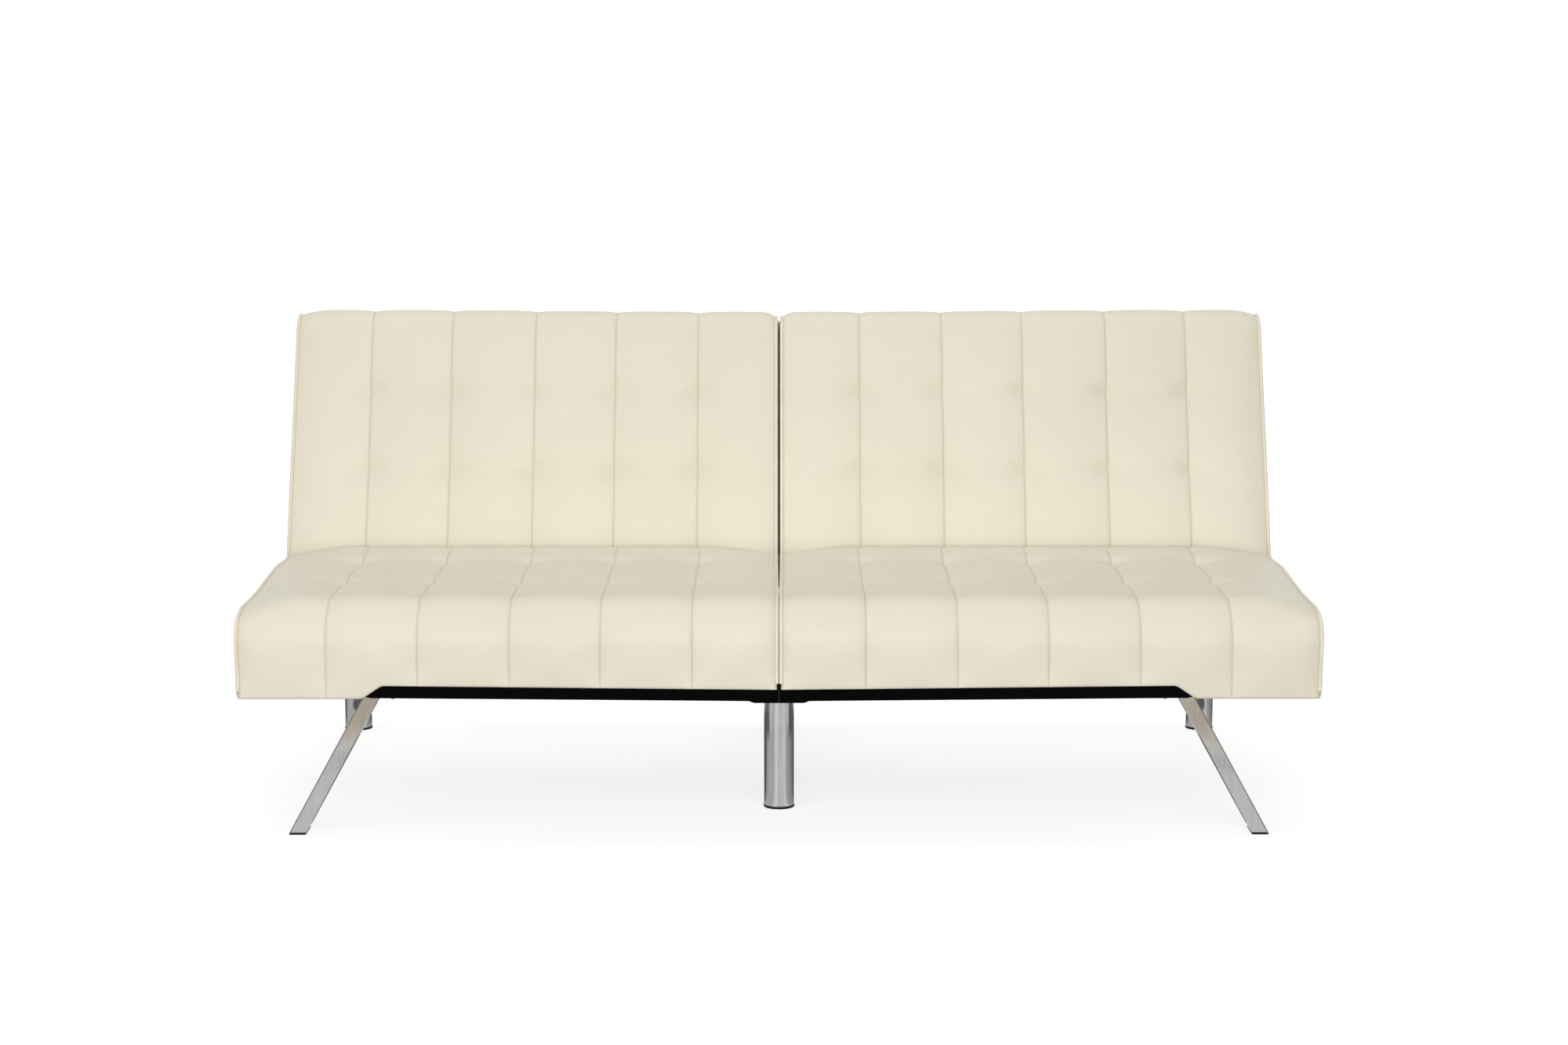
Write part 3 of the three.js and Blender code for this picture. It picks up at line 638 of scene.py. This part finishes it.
def skirt_edge(x, y):
    """Height of the lower edge: it steps up between the slanted legs, and at the rear."""
    high = SKIRT_HIGH - (hem_sag(x) if y < 0.0115 else 0)
    level = mix(high, SKIRT_LOW, min(max((x - NOTCH[0]) / (NOTCH[1] - NOTCH[0]), 0), 1))
    return mix(level, SKIRT_HIGH, smooth(0.478, 0.484, y))


def seat_settle(at, x):
    if at.y >= SKIRT_FREE:
        return at
    level = skirt_edge(x, at.x)
    share = (at.y - SKIRT_LOW) / (SKIRT_FREE - SKIRT_LOW)
    return Vector((at.x, mix(level, SKIRT_FREE, share)))


def seat_form():
    rear_top, rear_low = 0.530 - SEAT_TO_BACK, BACK_END.x - SEAT_TO_BACK
    fourth, fifth = SEAT_SEAMS[3:]
    near_notch = [4 + (x + step - fourth) / (fifth - fourth) for x in NOTCH for step in (-0.002, 0.002)]
    points = rounded_outline([
        ((0, SKIRT_LOW), 0.004, 0.009),
        ((0, SEAT_FRONT_TOP), FRONT_ROUNDING, 0.008),
        ((rear_top, SEAT_REAR_TOP), 0.012, 0.012),
        ((rear_low, BACK_END.y), 0.02, 0.014),
        ((rear_low, SKIRT_LOW), 0.004, 0.008),
        ((0.478, SKIRT_LOW), 0, 0.030),
        ((0.0125, SKIRT_LOW), 0, 0.004),
        ((0.0105, SKIRT_LOW), 0, 0.004),
    ])

    def face(at, normal):
        hem = mix(0.35, 1, smooth(SKIRT_LOW, SKIRT_LOW + 0.04, at.y))
        rear = 1 - smooth(rear_top - 0.030, rear_top - 0.004, at.x)
        return rear * hem * (1 if at.y > SKIRT_LOW + 0.002 else 0)

    def outer_edge(at):
        taper = 0.0025 * (1 - smooth(SKIRT_LOW, SKIRT_FREE + 0.03, at.y)) * (1 - smooth(0.02, 0.12, at.x))
        return HALF_OUTER - 0.0036 - taper

    def droop(x, at):
        """The rear edge swells up in the middle and sags at its ends and between seams, the side sags."""
        raised = smooth(0.330, 0.384, at.y)
        along_side = smooth(-0.02, 0.06, at.x) * (1 - smooth(0.14, 0.44, at.x))
        shoulder = 0.014 * smooth(0.780, 0.872, x) * along_side
        ends = 0.013 * (1 - smooth(0.0, 0.15, x)) + 0.015 * smooth(0.73, 0.87, x)
        between_seams = 0
        if SEAT_SEAMS[0] < x < SEAT_SEAMS[-1]:
            between_seams = 0.003 * min(min(abs(x - seam) for seam in SEAT_SEAMS) / (CHANNEL / 2), 1)
        swell = smooth(0.36, 0.50, at.x)
        rear_edge = swell * (ends - 0.010) + smooth(0.450, 0.515, at.x) * between_seams
        return raised * (rear_edge + shoulder)

    def tucked(at):
        """The cord is pressed in where the seat faces the back."""
        return 0.0035 * smooth(rear_top - 0.025, rear_top - 0.006, at.x)

    def closing(at, distance):
        """The two seats part along their upper edge and meet behind it."""
        return smooth(0.020, 0.036, at.x) * smooth(0.040, 0.056, SEAT_FRONT_TOP - at.y)

    return {
        "points": points, "normals": outward(points), "seams": SEAT_SEAMS, "stations": stations(near_notch),
        "rows": SEAT_TUFT_ROWS, "tuft": SEAT_TUFT, "seed": 3.1,
        "along": lambda at: at.x if at.y > SEAT_FRONT_TOP - FRONT_ROUNDING else at.y - SEAT_FRONT_TOP,
        "face": face, "droop": droop, "settle": seat_settle,
        "inner_edge": lambda at: mix(0.0034, 0.0046, smooth(0.06, 0.45, at.x)), "outer_edge": outer_edge,
        "inner_full": lambda at: 0.00003, "outer_full": lambda at: HALF_OUTER + 0.005,
        "closing": closing, "place": seat_place, "tucked": tucked,
    }


def back_form():
    points = rounded_outline([
        ((0, 0), 0.030, 0.0085),
        ((0, BACK_LENGTH), 0.045, 0.009),
        ((BACK_THICKNESS, BACK_LENGTH), 0.020, 0.020),
        ((BACK_THICKNESS, 0), 0.015, 0.014),
    ])

    def face(at, normal):
        rear = 1 - smooth(BACK_THICKNESS - 0.030, BACK_THICKNESS - 0.004, at.x)
        upper = mix(1, 0.65, smooth(BACK_LENGTH - 0.030, BACK_LENGTH - 0.002, at.y))
        return rear * upper * smooth(0.030, 0.070, at.y)

    def droop(x, at):
        """The top edge rises outward, and its two corners are rounded off, the outer one more gently."""
        upper = smooth(BACK_LENGTH - 0.035, BACK_LENGTH - 0.005, at.y)
        outer = 0.0060 * (1 - smooth(0, 0.050, HALF_OUTER - x))
        inner = 0.0075 * (1 - smooth(0, 0.018, x - HALF_INNER))
        return upper * (outer + inner - 0.0020 - 0.0033 * smooth(0.10, 0.70, x))

    def narrowing(at):
        return 0.003 * smooth(0.05, 0.50, at.y)

    def closing(at, distance):
        """The two backs stand a little apart at the front and meet deeper in, at the top sooner."""
        from_rear = smooth(0, 0.004, BACK_THICKNESS - at.x)
        below_top = 1 - smooth(BACK_LENGTH - 0.060, BACK_LENGTH - 0.020, at.y)
        depth = mix(0.030, 0.073, below_top)
        drawn_in = 0.9 * below_top * smooth(0.004, 0.018, distance) * (1 - smooth(0.062, 0.073, at.x))
        met = smooth(depth, depth + 0.011, at.x) * from_rear * smooth(0, 0.007, BACK_LENGTH - at.y)
        return met - drawn_in

    def tucked(at):
        """The cord is pressed in where the back faces the seat."""
        return 0.0030 * (1 - smooth(0.050, 0.080, at.y)) * (1 - smooth(0.015, 0.040, at.x))

    return {
        "points": points, "normals": outward(points), "seams": BACK_SEAMS, "stations": stations(),
        "rows": BACK_TUFT_ROWS, "tuft": BACK_TUFT, "seed": 8.7,
        "along": lambda at: at.y, "face": face, "droop": droop, "settle": lambda at, x: at,
        "inner_edge": lambda at: 0.0050, "outer_edge": lambda at: HALF_OUTER + 0.0005 - narrowing(at),
        "inner_full": lambda at: 0.00003, "outer_full": lambda at: HALF_OUTER + 0.006 - narrowing(at),
        "closing": closing, "place": back_place, "tucked": tucked,
    }


def puffed(mesh, form, count):
    """The cover blown out between its seams by a cloth step, held along seams, edges and hidden faces."""
    holder = linked("cushion under pressure", mesh)
    held = holder.vertex_groups.new(name="held")
    marks = [value.value for value in mesh.attributes["ring_place"].data]
    side = len(SIDE_SHARES)
    for index, mark in enumerate(marks):
        ring, column = divmod(mark, count)
        station = ring - side
        at, normal = form["points"][column], form["normals"][column]
        on_side = mark < 0 or not 0 <= station < len(form["stations"])
        if on_side:
            weight = 1.0
        else:
            across = form["stations"][station]
            from_seam = abs(across - round(across)) * CHANNEL
            tuft = tuft_sink(across, form["along"](at), form) / sum(form["tuft"])
            on_seam = 1 - smooth(0.001, 0.012, from_seam)
            weight = max(on_seam, 1 - form["face"](at, normal), min(tuft * 1.5, 1))
        if weight > 0.02:
            held.add([index], weight, "REPLACE")
    cloth = holder.modifiers.new("cloth", "CLOTH")
    settings = cloth.settings
    settings.quality = 4
    settings.mass = 0.3
    settings.tension_stiffness = settings.compression_stiffness = 12
    settings.shear_stiffness = 6
    settings.bending_stiffness = 0.4
    settings.use_pressure = True
    settings.uniform_pressure_force = 4
    settings.vertex_group_mass = "held"
    settings.effector_weights.gravity = 0
    cloth.collision_settings.use_collision = False
    scene = bpy.context.scene
    for step in range(PRESSURE_STEPS):
        scene.frame_set(step + 1)
    blown = settled(holder)
    scene.frame_set(1)
    for vert, moved in zip(mesh.vertices, blown.vertices):
        shift = moved.co - vert.co
        if shift.length > 1e-9:
            vert.co += shift.normalized() * MOST_SHIFT * math.tanh(shift.length / MOST_SHIFT)
    bpy.data.meshes.remove(blown)
    holder.modifiers.clear()
    bpy.data.objects.remove(holder)
    return mesh


def cut_from(mesh, boxes, place=None):
    """The mesh with boxes cut out of it. Boxes may be given in the back's own outline through place."""
    bm = bmesh.new()
    for low, high in boxes:
        add_block(bm, low, high)
    if place:
        move_all(bm.verts, place)
    cutter = linked("cutter", mesh_from("cutter", bm))
    result = worked(mesh, ("BOOLEAN", {"object": cutter, "operation": "DIFFERENCE", "solver": "MANIFOLD"}))
    bpy.data.objects.remove(cutter)
    return result


def cushion_mesh(name, form):
    points = form["points"]
    lengths = running_length(points + points[:1])
    rings, widths = cushion_rings(form)
    mesh = lofted(name, rings, widths, lengths, form["place"])
    mesh = puffed(mesh, form, len(points))
    return worked(mesh, ("SUBSURF", {"levels": 1, "render_levels": 1}))


def edge_line(form, across, columns):
    """The line that the piping follows along one edge of a cushion."""
    line = []
    for i in columns:
        at, normal = form["points"][i], form["normals"][i]
        x = form["inner_edge"](at) if across == 0 else form["outer_edge"](at)
        sink = quilt_sink(across, form["along"](at), form) * form["face"](at, normal) + form["tucked"](at)
        sunk = at - normal * (sink - 0.0012) - Vector((0, form["droop"](x, at)))
        line.append(form["place"](x, form["settle"](sunk, x)))
    return line


def piping_mesh(name, line, closed):
    """A sewn cord along a line, made as a round sweep."""
    curve = bpy.data.curves.new(name, "CURVE")
    curve.dimensions = "3D"
    curve.bevel_depth = PIPING_RADIUS
    curve.bevel_resolution = 3
    curve.resolution_u = 3
    curve.use_fill_caps = True
    spline = curve.splines.new("BEZIER")
    spline.bezier_points.add(len(line) - 1)
    spline.use_cyclic_u = closed
    for point, place in zip(spline.bezier_points, line):
        point.co = place
        point.handle_left_type = point.handle_right_type = "AUTO"
    holder = linked(name, curve)
    bpy.context.view_layer.update()
    mesh = settled(holder)
    bpy.data.objects.remove(holder)
    bm = bmesh.new()
    bm.from_mesh(mesh)
    bmesh.ops.remove_doubles(bm, verts=bm.verts, dist=1e-6)
    bmesh.ops.recalc_face_normals(bm, faces=bm.faces)
    return mesh_from(name, bm)


def add_both(name, mesh, finishes, bodies, slot, replaces=(), **options):
    """The right piece as it was made, and its mirror image on the left. A name's {} takes the side."""
    made = {}
    for side, body in zip(("right", "left"), bodies):
        own = mesh if side == "right" else mirrored(mesh)
        made[side] = add_piece(name.format(side), own, finishes, body, slot,
                               [node_name.format(side) for node_name in replaces], **options)
    return made


def add_cushions(part, form, cuts, bodies, columns, closed):
    """Both cushions of the seat or the back, with a piping along their inner and outer edges."""
    mesh = cushion_mesh(f"{part} cushion", form)
    for boxes, place in cuts:
        mesh = cut_from(mesh, boxes, place)
    pieces = add_both(f"{part}_cushion_{{}}", mesh, [LEATHER], bodies, "imitation_leather",
                      (f"{part}_cover_{{}}", f"{part}_foam_{{}}"), rigid=False)
    for edge, across in (("inner", 0), ("outer", CHANNELS)):
        cord = piping_mesh(f"{part} piping", edge_line(form, across, columns), closed)
        add_both(f"{part}_piping_{edge}_{{}}", cord, [PIPING], bodies, "imitation_leather", rigid=False)


def build_seats():
    form = seat_form()
    cavity = ((CAVITY[0], 0.012 + FRONT_Y, 0.1), (CAVITY[1], 0.4882 + FRONT_Y, 0.2636))
    above = [i for i, at in enumerate(form["points"]) if at.y > SKIRT_LOW + 0.0045]
    start = next(i for i in above if i - 1 not in above)
    columns = [i % len(form["points"]) for i in range(start, start + len(above))]
    add_cushions("seat", form, [([cavity], None)], BASE, columns, False)


def hinge_slots(top):
    """Room for the hinges, from below the back's lower end up to a height along it."""
    return [((x - 0.008, 0.0209, -0.05), (x + 0.00845, 0.20, top)) for x in HINGES.values()]


def build_backs():
    form = back_form()
    cavity = ((CAVITY[0], 0.0673, 0.018), (CAVITY[1], 0.20, 0.488))
    cuts = [([cavity], back_place), (hinge_slots(0.115), back_place)]
    add_cushions("back", form, cuts, BACKS, range(len(form["points"])), True)


def build_rear_panels():
    """A thin board covered in the same material, pulled over a little wadding."""
    low, high = (0.0223, 0.0183), (0.8497, 0.4877)
    bm = sheet_of_faces(90, 52)
    for vert in bm.verts:
        u, v = vert.co.x + 0.5, vert.co.y + 0.5
        x, a = mix(low[0], high[0], u), mix(low[1], high[1], v)
        edge = min(x - low[0], high[0] - x, a - low[1], high[1] - a)
        crown = 0.0016 * (1 - math.exp(-edge / 0.012)) + 0.0006 * noise.noise(Vector((x * 6, a * 6, 4.2)))
        vert.co = Vector((x, 0.1142 + crown, a))
    bmesh.ops.recalc_face_normals(bm, faces=bm.faces)
    mesh = mesh_from("rear panel", bm)
    forward = 1 if mesh.polygons[0].normal.y < 0 else -1
    mesh = worked(mesh, ("SOLIDIFY", {"thickness": 0.0022, "offset": forward}))
    move_all(mesh.vertices, back_place)
    mesh = cut_from(mesh, hinge_slots(0.0510), back_place)
    add_both("back_rear_cover_{}", mesh, [LEATHER], BACKS, "imitation_leather", ("back_rear_panel_{}",),
             rigid=False)


def build_dust_covers():
    """One sheet of lining for each half: a band behind the front edge that folds back under the frame."""
    low_x, high_x, rear = 0.00005, 0.7785, 0.4880
    steps_down, steps_back = 6, 60
    steps = steps_down + steps_back
    bm = sheet_of_faces(180, steps)
    for vert in bm.verts:
        x, step = mix(low_x, high_x, vert.co.x + 0.5), round((vert.co.y + 0.5) * steps)
        band_y = mix(0.0048, 0.0132, smooth(NOTCH[1] - 0.014, NOTCH[1] - 0.005, x))
        drop = 1 - smooth(0.0395, 0.049, x)
        bottom = mix(0.2288 - 0.8 * hem_sag(x), 0.2208, drop)
        top = max(skirt_edge(x, 0) - 0.0006, bottom + 0.0012)
        if step < steps_down:
            z = mix(top, bottom, step / steps_down)
            y = band_y + 0.0012 * noise.noise(Vector((x * 14, z * 20, 1.0))) * (1 - step / steps_down)
        else:
            share = (step - steps_down) / steps_back
            y = mix(band_y, rear, share)
            sag = 0.0012 * math.sin(math.pi * share) * (0.5 + noise.noise(Vector((x * 5, y * 5, 2.0))))
            z = bottom - max(sag, 0) * (1 - drop)
        vert.co = Vector((x, y + FRONT_Y, z))
    bmesh.ops.recalc_face_normals(bm, faces=bm.faces)
    if bm.faces[:][-1].normal.z > 0:
        bmesh.ops.reverse_faces(bm, faces=bm.faces)
    mesh = worked(mesh_from("dust cover", bm), ("SOLIDIFY", {"thickness": 0.0006, "offset": -1}))
    pieces = add_both("dust_cover_{}", mesh, [FABRIC], BASE, "black_fabric", ("seat_dust_cover_{}",),
                      shade_angle=60, rigid=False)


# Legs and base

def bolt_places(centre, half_x, half_y):
    return [(centre[0] + dx, centre[1] + dy) for dx in (-half_x, half_x) for dy in (-half_y, half_y)]


def add_bolt(bm, centre, up, size):
    """A round-headed bolt with its washer, head towards up (+1) or down (-1)."""
    washer_top, head_top, socket_floor = 0.0010, 0.0042, 0.0026
    washer = [(0, 0), (size * 1.5, 0), (size * 1.5, washer_top), (0, washer_top)]
    head = [(0, washer_top), (size, washer_top), (size, 0.0020), (size * 0.86, 0.0034),
            (size * 0.45, head_top), (size * 0.45, socket_floor), (0, socket_floor)]
    for outline in (washer, head):
        add_turned(bm, [(radius, height * up) for radius, height in outline], centre, steps=20)


def round_leg(name, centre, plate_top, plate_width):
    """A chrome tube with a weld ring under its plate, and the bolts that hold the plate."""
    x, y = centre
    plate_low = plate_top - PLATE
    weld_radius, weld_top = TUBE_RADIUS + 0.0025, plate_low + 0.0005
    half_x, half_y, bolt_inset = plate_width / 2, 0.030, 0.007
    bm = bmesh.new()
    add_turned(bm, [
        (TUBE_BORE, 0.0043), (TUBE_RADIUS, 0.0046), (TUBE_RADIUS, plate_low - 0.004),
        (TUBE_RADIUS + 0.0005, plate_low - 0.0018), (weld_radius, plate_low - 0.0003),
        (weld_radius, weld_top), (TUBE_BORE, weld_top), (TUBE_BORE, 0.0043),
    ], (x, y, 0))
    add_block(bm, (x - half_x, y - half_y, plate_low), (x + half_x, y + half_y, plate_top), PLATE_EDGE)
    for bolt_x, bolt_y in bolt_places(centre, half_x - bolt_inset, half_y - bolt_inset):
        add_bolt(bm, (bolt_x, bolt_y, plate_low), -1, 0.0032)
    return mesh_from(name, bm)


def foot_cap(name, centre):
    """A cap with a soft rim under the tube, and the plug that holds it in the bore."""
    plug_low, plug_high, plug_radius = 0.0038, 0.024, 0.0231
    bm = bmesh.new()
    add_turned(bm, rounded(0.026, 0, 0.004, 0.0012), (*centre, 0))
    add_turned(bm, [(0, plug_low), (plug_radius, plug_low), (plug_radius, 0.023), (0.022, plug_high),
                    (0, plug_high)], (*centre, 0))
    return mesh_from(name, bm)


def middle(node_name):
    low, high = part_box(node_name)
    return (low[0] + high[0]) / 2, (low[1] + high[1]) / 2


def build_round_legs():
    for place in ("rear_left", "rear_right", "centre_front", "centre_rear"):
        leg, cap = f"leg_{place}", f"foot_cap_{place}"
        low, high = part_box(leg)
        mesh = round_leg("round leg", middle(leg), high[2], high[0] - low[0])
        add_piece(f"chrome_{leg}", mesh, [CHROME], "base", "chrome", [leg])
        mesh = foot_cap("foot cap", middle(cap))
        add_piece(f"moulded_{cap}", mesh, [PLASTIC], "base", "black_plastic", [cap])


def build_slanted_legs():
    """Flat chrome bars that splay outward under the front rail, on plastic pads."""
    top, foot, half = 0.654, 0.778, 0.0135
    low_z, high_z = 0.0028, 0.2276
    bar_y, bar_depth = 0.024 + FRONT_Y, 0.050
    plate_y, plate_depth, plate_half = 0.034 + FRONT_Y, 0.060, 0.040
    bm = bmesh.new()
    corners = [(foot - half, low_z), (foot + half, low_z), (top + half, high_z), (top - half, high_z)]
    start = bm.faces.new([bm.verts.new((x, bar_y, z)) for x, z in corners])
    grown = bmesh.ops.extrude_face_region(bm, geom=[start])["geom"]
    behind = [part for part in grown if isinstance(part, bmesh.types.BMVert)]
    bmesh.ops.translate(bm, vec=(0, bar_depth, 0), verts=behind)
    bmesh.ops.recalc_face_normals(bm, faces=bm.faces)
    below_top = [edge for edge in bm.edges if min(vert.co.z for vert in edge.verts) < 0.2]
    soften(bm, below_top, 0.0022, 4)
    low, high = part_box("leg_slanted_right")
    plate_low = high[2] - PLATE
    far_corner = (top + plate_half, plate_y + plate_depth, high[2])
    add_block(bm, (top - plate_half, plate_y, plate_low), far_corner, PLATE_EDGE)
    for bolt_x, bolt_y in bolt_places((top, plate_y + plate_depth / 2), 0.032, 0.022):
        add_bolt(bm, (bolt_x, bolt_y, plate_low), -1, 0.0035)
    mesh = mesh_from("slanted leg", bm)
    add_both("chrome_leg_slanted_{}", mesh, [CHROME], BASE, "chrome", ("leg_slanted_{}",))
    low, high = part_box("foot_pad_right")
    bm = bmesh.new()
    add_block(bm, low, high, 0.0007, 3)
    mesh = mesh_from("foot pad", bm)
    add_both("moulded_foot_pad_{}", mesh, [PLASTIC], BASE, "black_plastic", ("foot_pad_{}",))


def build_base_tubes():
    """Welded tubes with rounded corners. Open ends are closed by moulded plugs."""
    for side in ("left", "right"):
        for part, axis in (("front_rail", 0), ("cross_rail", 0), ("rear_rail", 0),
                           ("inner_runner", 1), ("outer_runner", 1)):
            name = f"base_{part}_{side}"
            low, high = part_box(name)
            bm = bmesh.new()
            add_block(bm, low, high)
            along = Vector((axis == 0, axis == 1, 0))
            long_edges = [edge for edge in bm.edges
                          if abs((edge.verts[1].co - edge.verts[0].co).normalized().dot(along)) > 0.9]
            soften(bm, long_edges, 0.003, 4)
            ends = [face for face in bm.faces if abs(face.normal.dot(along)) > 0.9]
            bmesh.ops.inset_individual(bm, faces=ends, thickness=0.0015, depth=0)
            for face in ends:
                face.material_index = 1
            bmesh.ops.inset_individual(bm, faces=ends, thickness=0.0006, depth=-0.0008)
            mesh = mesh_from("tube", bm)
            add_piece(f"tube_{part}_{side}", mesh, [COATED, PLASTIC], "base", "black_steel", [name])


def build_bracket_bolts():
    for side, sign in (("right", 1), ("left", -1)):
        bm = bmesh.new()
        for place in HINGES:
            low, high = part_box(f"hinge_bracket_{place}_{side}")
            x = sign * (HINGES[place] - 0.010)
            for y in (low[1] + 0.010, high[1] - 0.010):
                add_bolt(bm, (x, y, low[2] + PLATE), 1, 0.0040)
        add_piece(f"bracket_bolts_{side}", mesh_from("bracket bolts", bm), [ZINC], "base", "zinc_steel")


def refine_nodes():
    """Finishes and softened edges for the frame's own solids that stay in view."""
    finishes = {
        "hinge_bracket": (COATED, 0.0006), "hinge_pin": (ZINC, 0.0005), "hinge_arm": (ZINC, 0.0006),
        "seat_deck": (PLYWOOD, 0.0008), "back_deck": (PLYWOOD, 0.0005),
        **{f"back_{rail}_rail": (TIMBER, 0.0012) for rail in ("inner", "outer", "top", "lower")},
    }
    for name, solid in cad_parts.items():
        for start, (finish, edge) in finishes.items():
            if name.startswith(start):
                for held in solid.material_slots:
                    held.material = finish
                solid.modifiers.new("merge", "WELD").merge_threshold = 0.00001
                soft = solid.modifiers.new("soft edges", "BEVEL")
                soft.width = edge
                soft.segments = 2
                soft.limit_method = "ANGLE"
                soft.angle_limit = math.radians(40)


# Stage, light and camera

def build_stage():
    bm = sheet_of_faces(1, 1, 40)
    floor = linked("floor", mesh_from("floor", bm))
    made, place = material("pale floor", (172, 172, 172), 0.9)
    tree = made.node_tree
    sockets(made)["Specular IOR Level"].default_value = 0.0
    distance = node(tree, "ShaderNodeVectorMath", [(0, place)], operation="LENGTH")
    paleness = between(distance.outputs["Value"], 0.78, 1.0, 1.5, 5.0)
    glow = maths("MULTIPLY", seen_directly(tree, 1.0), paleness)
    tree.links.new(glow, sockets(made)["Emission Strength"])
    sockets(made)["Emission Color"].default_value = (1, 1, 1, 1)
    floor.data.materials.append(made)


def painted_reflection_bands(tree, centre):
    """Light and dark sectors painted round a tube leg, which the tube shows as upright bands: a painted
    reflection.
    """
    place = node(tree, "ShaderNodeSeparateXYZ", [("Vector", object_place(tree))])
    sideways = maths("SUBTRACT", place.outputs["X"], centre[0])
    forward = maths("SUBTRACT", centre[1], place.outputs["Y"])
    sector = between(maths("ARCTAN2", sideways, forward), 0, 1, -math.pi, math.pi)
    ramp = node(tree, "ShaderNodeValToRGB", [("Fac", sector)])
    stops = [(0.04, 0.05), (0.16, 0.12), (0.26, 0.56), (0.39, 0.56), (0.44, 0.98), (0.48, 0.72),
             (0.56, 0.68), (0.61, 0.90), (0.66, 0.50), (0.78, 0.32), (0.88, 0.10), (0.96, 0.05)]
    for at, level in stops[2:]:
        ramp.color_ramp.elements.new(at)
    for element, (at, level) in zip(ramp.color_ramp.elements, stops):
        element.position = at
        element.color = (level, level, level * 0.995, 1)
    return ramp.outputs["Color"]


def build_reflections():
    """Grey cards that glow only in reflections: painted reflections of a dim studio beside and in front of
    the pale floor.
    """
    # Painted reflections of the floor in front of the sofa, in three shades, on each side.
    painted_floor_reflections = {
        "painted far floor reflection": ((0.60, -3.60), (2.20, -1.08), (0.60, 0.54, 0.43)),
        "painted middle floor reflection": ((0.60, -1.03), (2.20, -0.86), (0.62, 0.62, 0.62)),
        "painted near floor reflection": ((0.60, -0.86), (2.20, -0.37), (0.74, 0.74, 0.75)),
    }
    cards = [("painted wall reflection", (side * 3.2, -2.0, 1.0), 90, (3.0, 7.0), (0.20, 0.20, 0.20)) for side in (-1, 1)]
    for name, (low, high, colour) in painted_floor_reflections.items():
        size = (high[0] - low[0], high[1] - low[1])
        centre_x, centre_y = (low[0] + high[0]) / 2, (low[1] + high[1]) / 2
        cards += [(name, (side * centre_x, centre_y, 0.004), 0, size, colour) for side in (-1, 1)]
    # Painted reflections: light and dark bands round each tube leg, and a dark patch behind each slanted
    # leg.
    cards.append(("painted reflection round a leg", (0, -0.70, 0.004), 0, (1.2, 2.4), middle("leg_centre_front")))
    for side in ("left", "right"):
        x, y = middle(f"leg_rear_{side}")
        cards.append(("painted reflection round a leg", (math.copysign(1.10, x), 0.415, 0.004), 0, (1.0, 1.57), (x, y)))
        cards.append(("shade behind a slanted leg", (math.copysign(0.75, x), -0.06, 0.006), 0, (0.4, 0.6),
                      (0.12, 0.12, 0.12)))
    for name, place, turn, size, colour in cards:
        made = bpy.data.materials.new(name)
        made.use_nodes = True
        tree = made.node_tree
        tree.nodes.remove(tree.nodes["Principled BSDF"])
        colour = painted_reflection_bands(tree, colour) if name == "painted reflection round a leg" else (*colour, 1)
        glow = node(tree, "ShaderNodeEmission", [("Color", colour)]).outputs["Emission"]
        tree.links.new(glow, tree.nodes["Material Output"].inputs["Surface"])
        bm = sheet_of_faces(1, 1)
        bmesh.ops.scale(bm, vec=(*size, 1), verts=bm.verts)
        turned = Matrix.Rotation(math.radians(turn), 4, "Y")
        bmesh.ops.transform(bm, matrix=Matrix.Translation(place) @ turned, verts=bm.verts)
        card = linked(name, mesh_from(name, bm))
        card.data.materials.append(made)
        card.visible_camera = card.visible_diffuse = card.visible_shadow = card.visible_transmission = False


def seen_directly(tree, strength):
    """A strength for rays from the camera, and for those that metal or glass passes on."""
    rays = node(tree, "ShaderNodeLightPath").outputs
    total = maths("ADD", rays["Is Camera Ray"], rays["Is Glossy Ray"])
    total = maths("ADD", total, rays["Is Transmission Ray"])
    return maths("MULTIPLY", maths("MINIMUM", total, 1.0), strength)


def build_light():
    world = bpy.data.worlds.new("studio")
    bpy.context.scene.world = world
    world.use_nodes = True
    tree = world.node_tree
    background = tree.nodes["Background"]
    background.inputs["Color"].default_value = (1, 1, 1, 1)
    ambient = 0.42
    strength = maths("ADD", seen_directly(tree, 1 - ambient), ambient)
    tree.links.new(strength, background.inputs["Strength"])
    add_lamp("front softbox", (0.3, -5.2, 2.6), (0, 0, 0.45), 4.5, 3.0, 90)
    add_lamp("low front softbox", (0, -4.4, 0.40), (0, 0, 0.25), 4.0, 0.6, 50)
    add_lamp("left softbox", (-4.0, -3.2, 2.4), (0, 0, 0.4), 2.5, 2.5, 29)
    add_lamp("top softbox", (0.0, 0.6, 3.6), (0, 0, 0.4), 3.5, 2.0, 24)
    add_lamp("rear softbox", (0.5, 4.6, 1.9), (0, 0.4, 0.45), 4.0, 2.0, 42).visible_glossy = False


def add_lamp(name, place, aim, width, height, power):
    lamp = bpy.data.lights.new(name, "AREA")
    lamp.shape = "RECTANGLE"
    lamp.size, lamp.size_y = width, height
    lamp.energy = power
    holder = linked(name, lamp)
    holder.location = place
    holder.rotation_euler = (Vector(aim) - Vector(place)).to_track_quat("-Z", "Y").to_euler()
    return holder


def build_camera():
    lens = bpy.data.cameras.new("camera")
    lens.sensor_width = 36
    lens.lens = 65.16
    camera = linked("camera", lens)
    camera.location = (0, -4.885, 1.138)
    camera.rotation_euler = (math.radians(90 - 8), 0, math.radians(-0.103))
    bpy.context.scene.camera = camera


build_camera()
build_stage()
build_reflections()
build_light()
build_seats()
build_backs()
build_rear_panels()
build_dust_covers()
build_round_legs()
build_slanted_legs()
build_base_tubes()
build_bracket_bolts()
refine_nodes()

bpy.context.scene.view_settings.view_transform = "Standard"
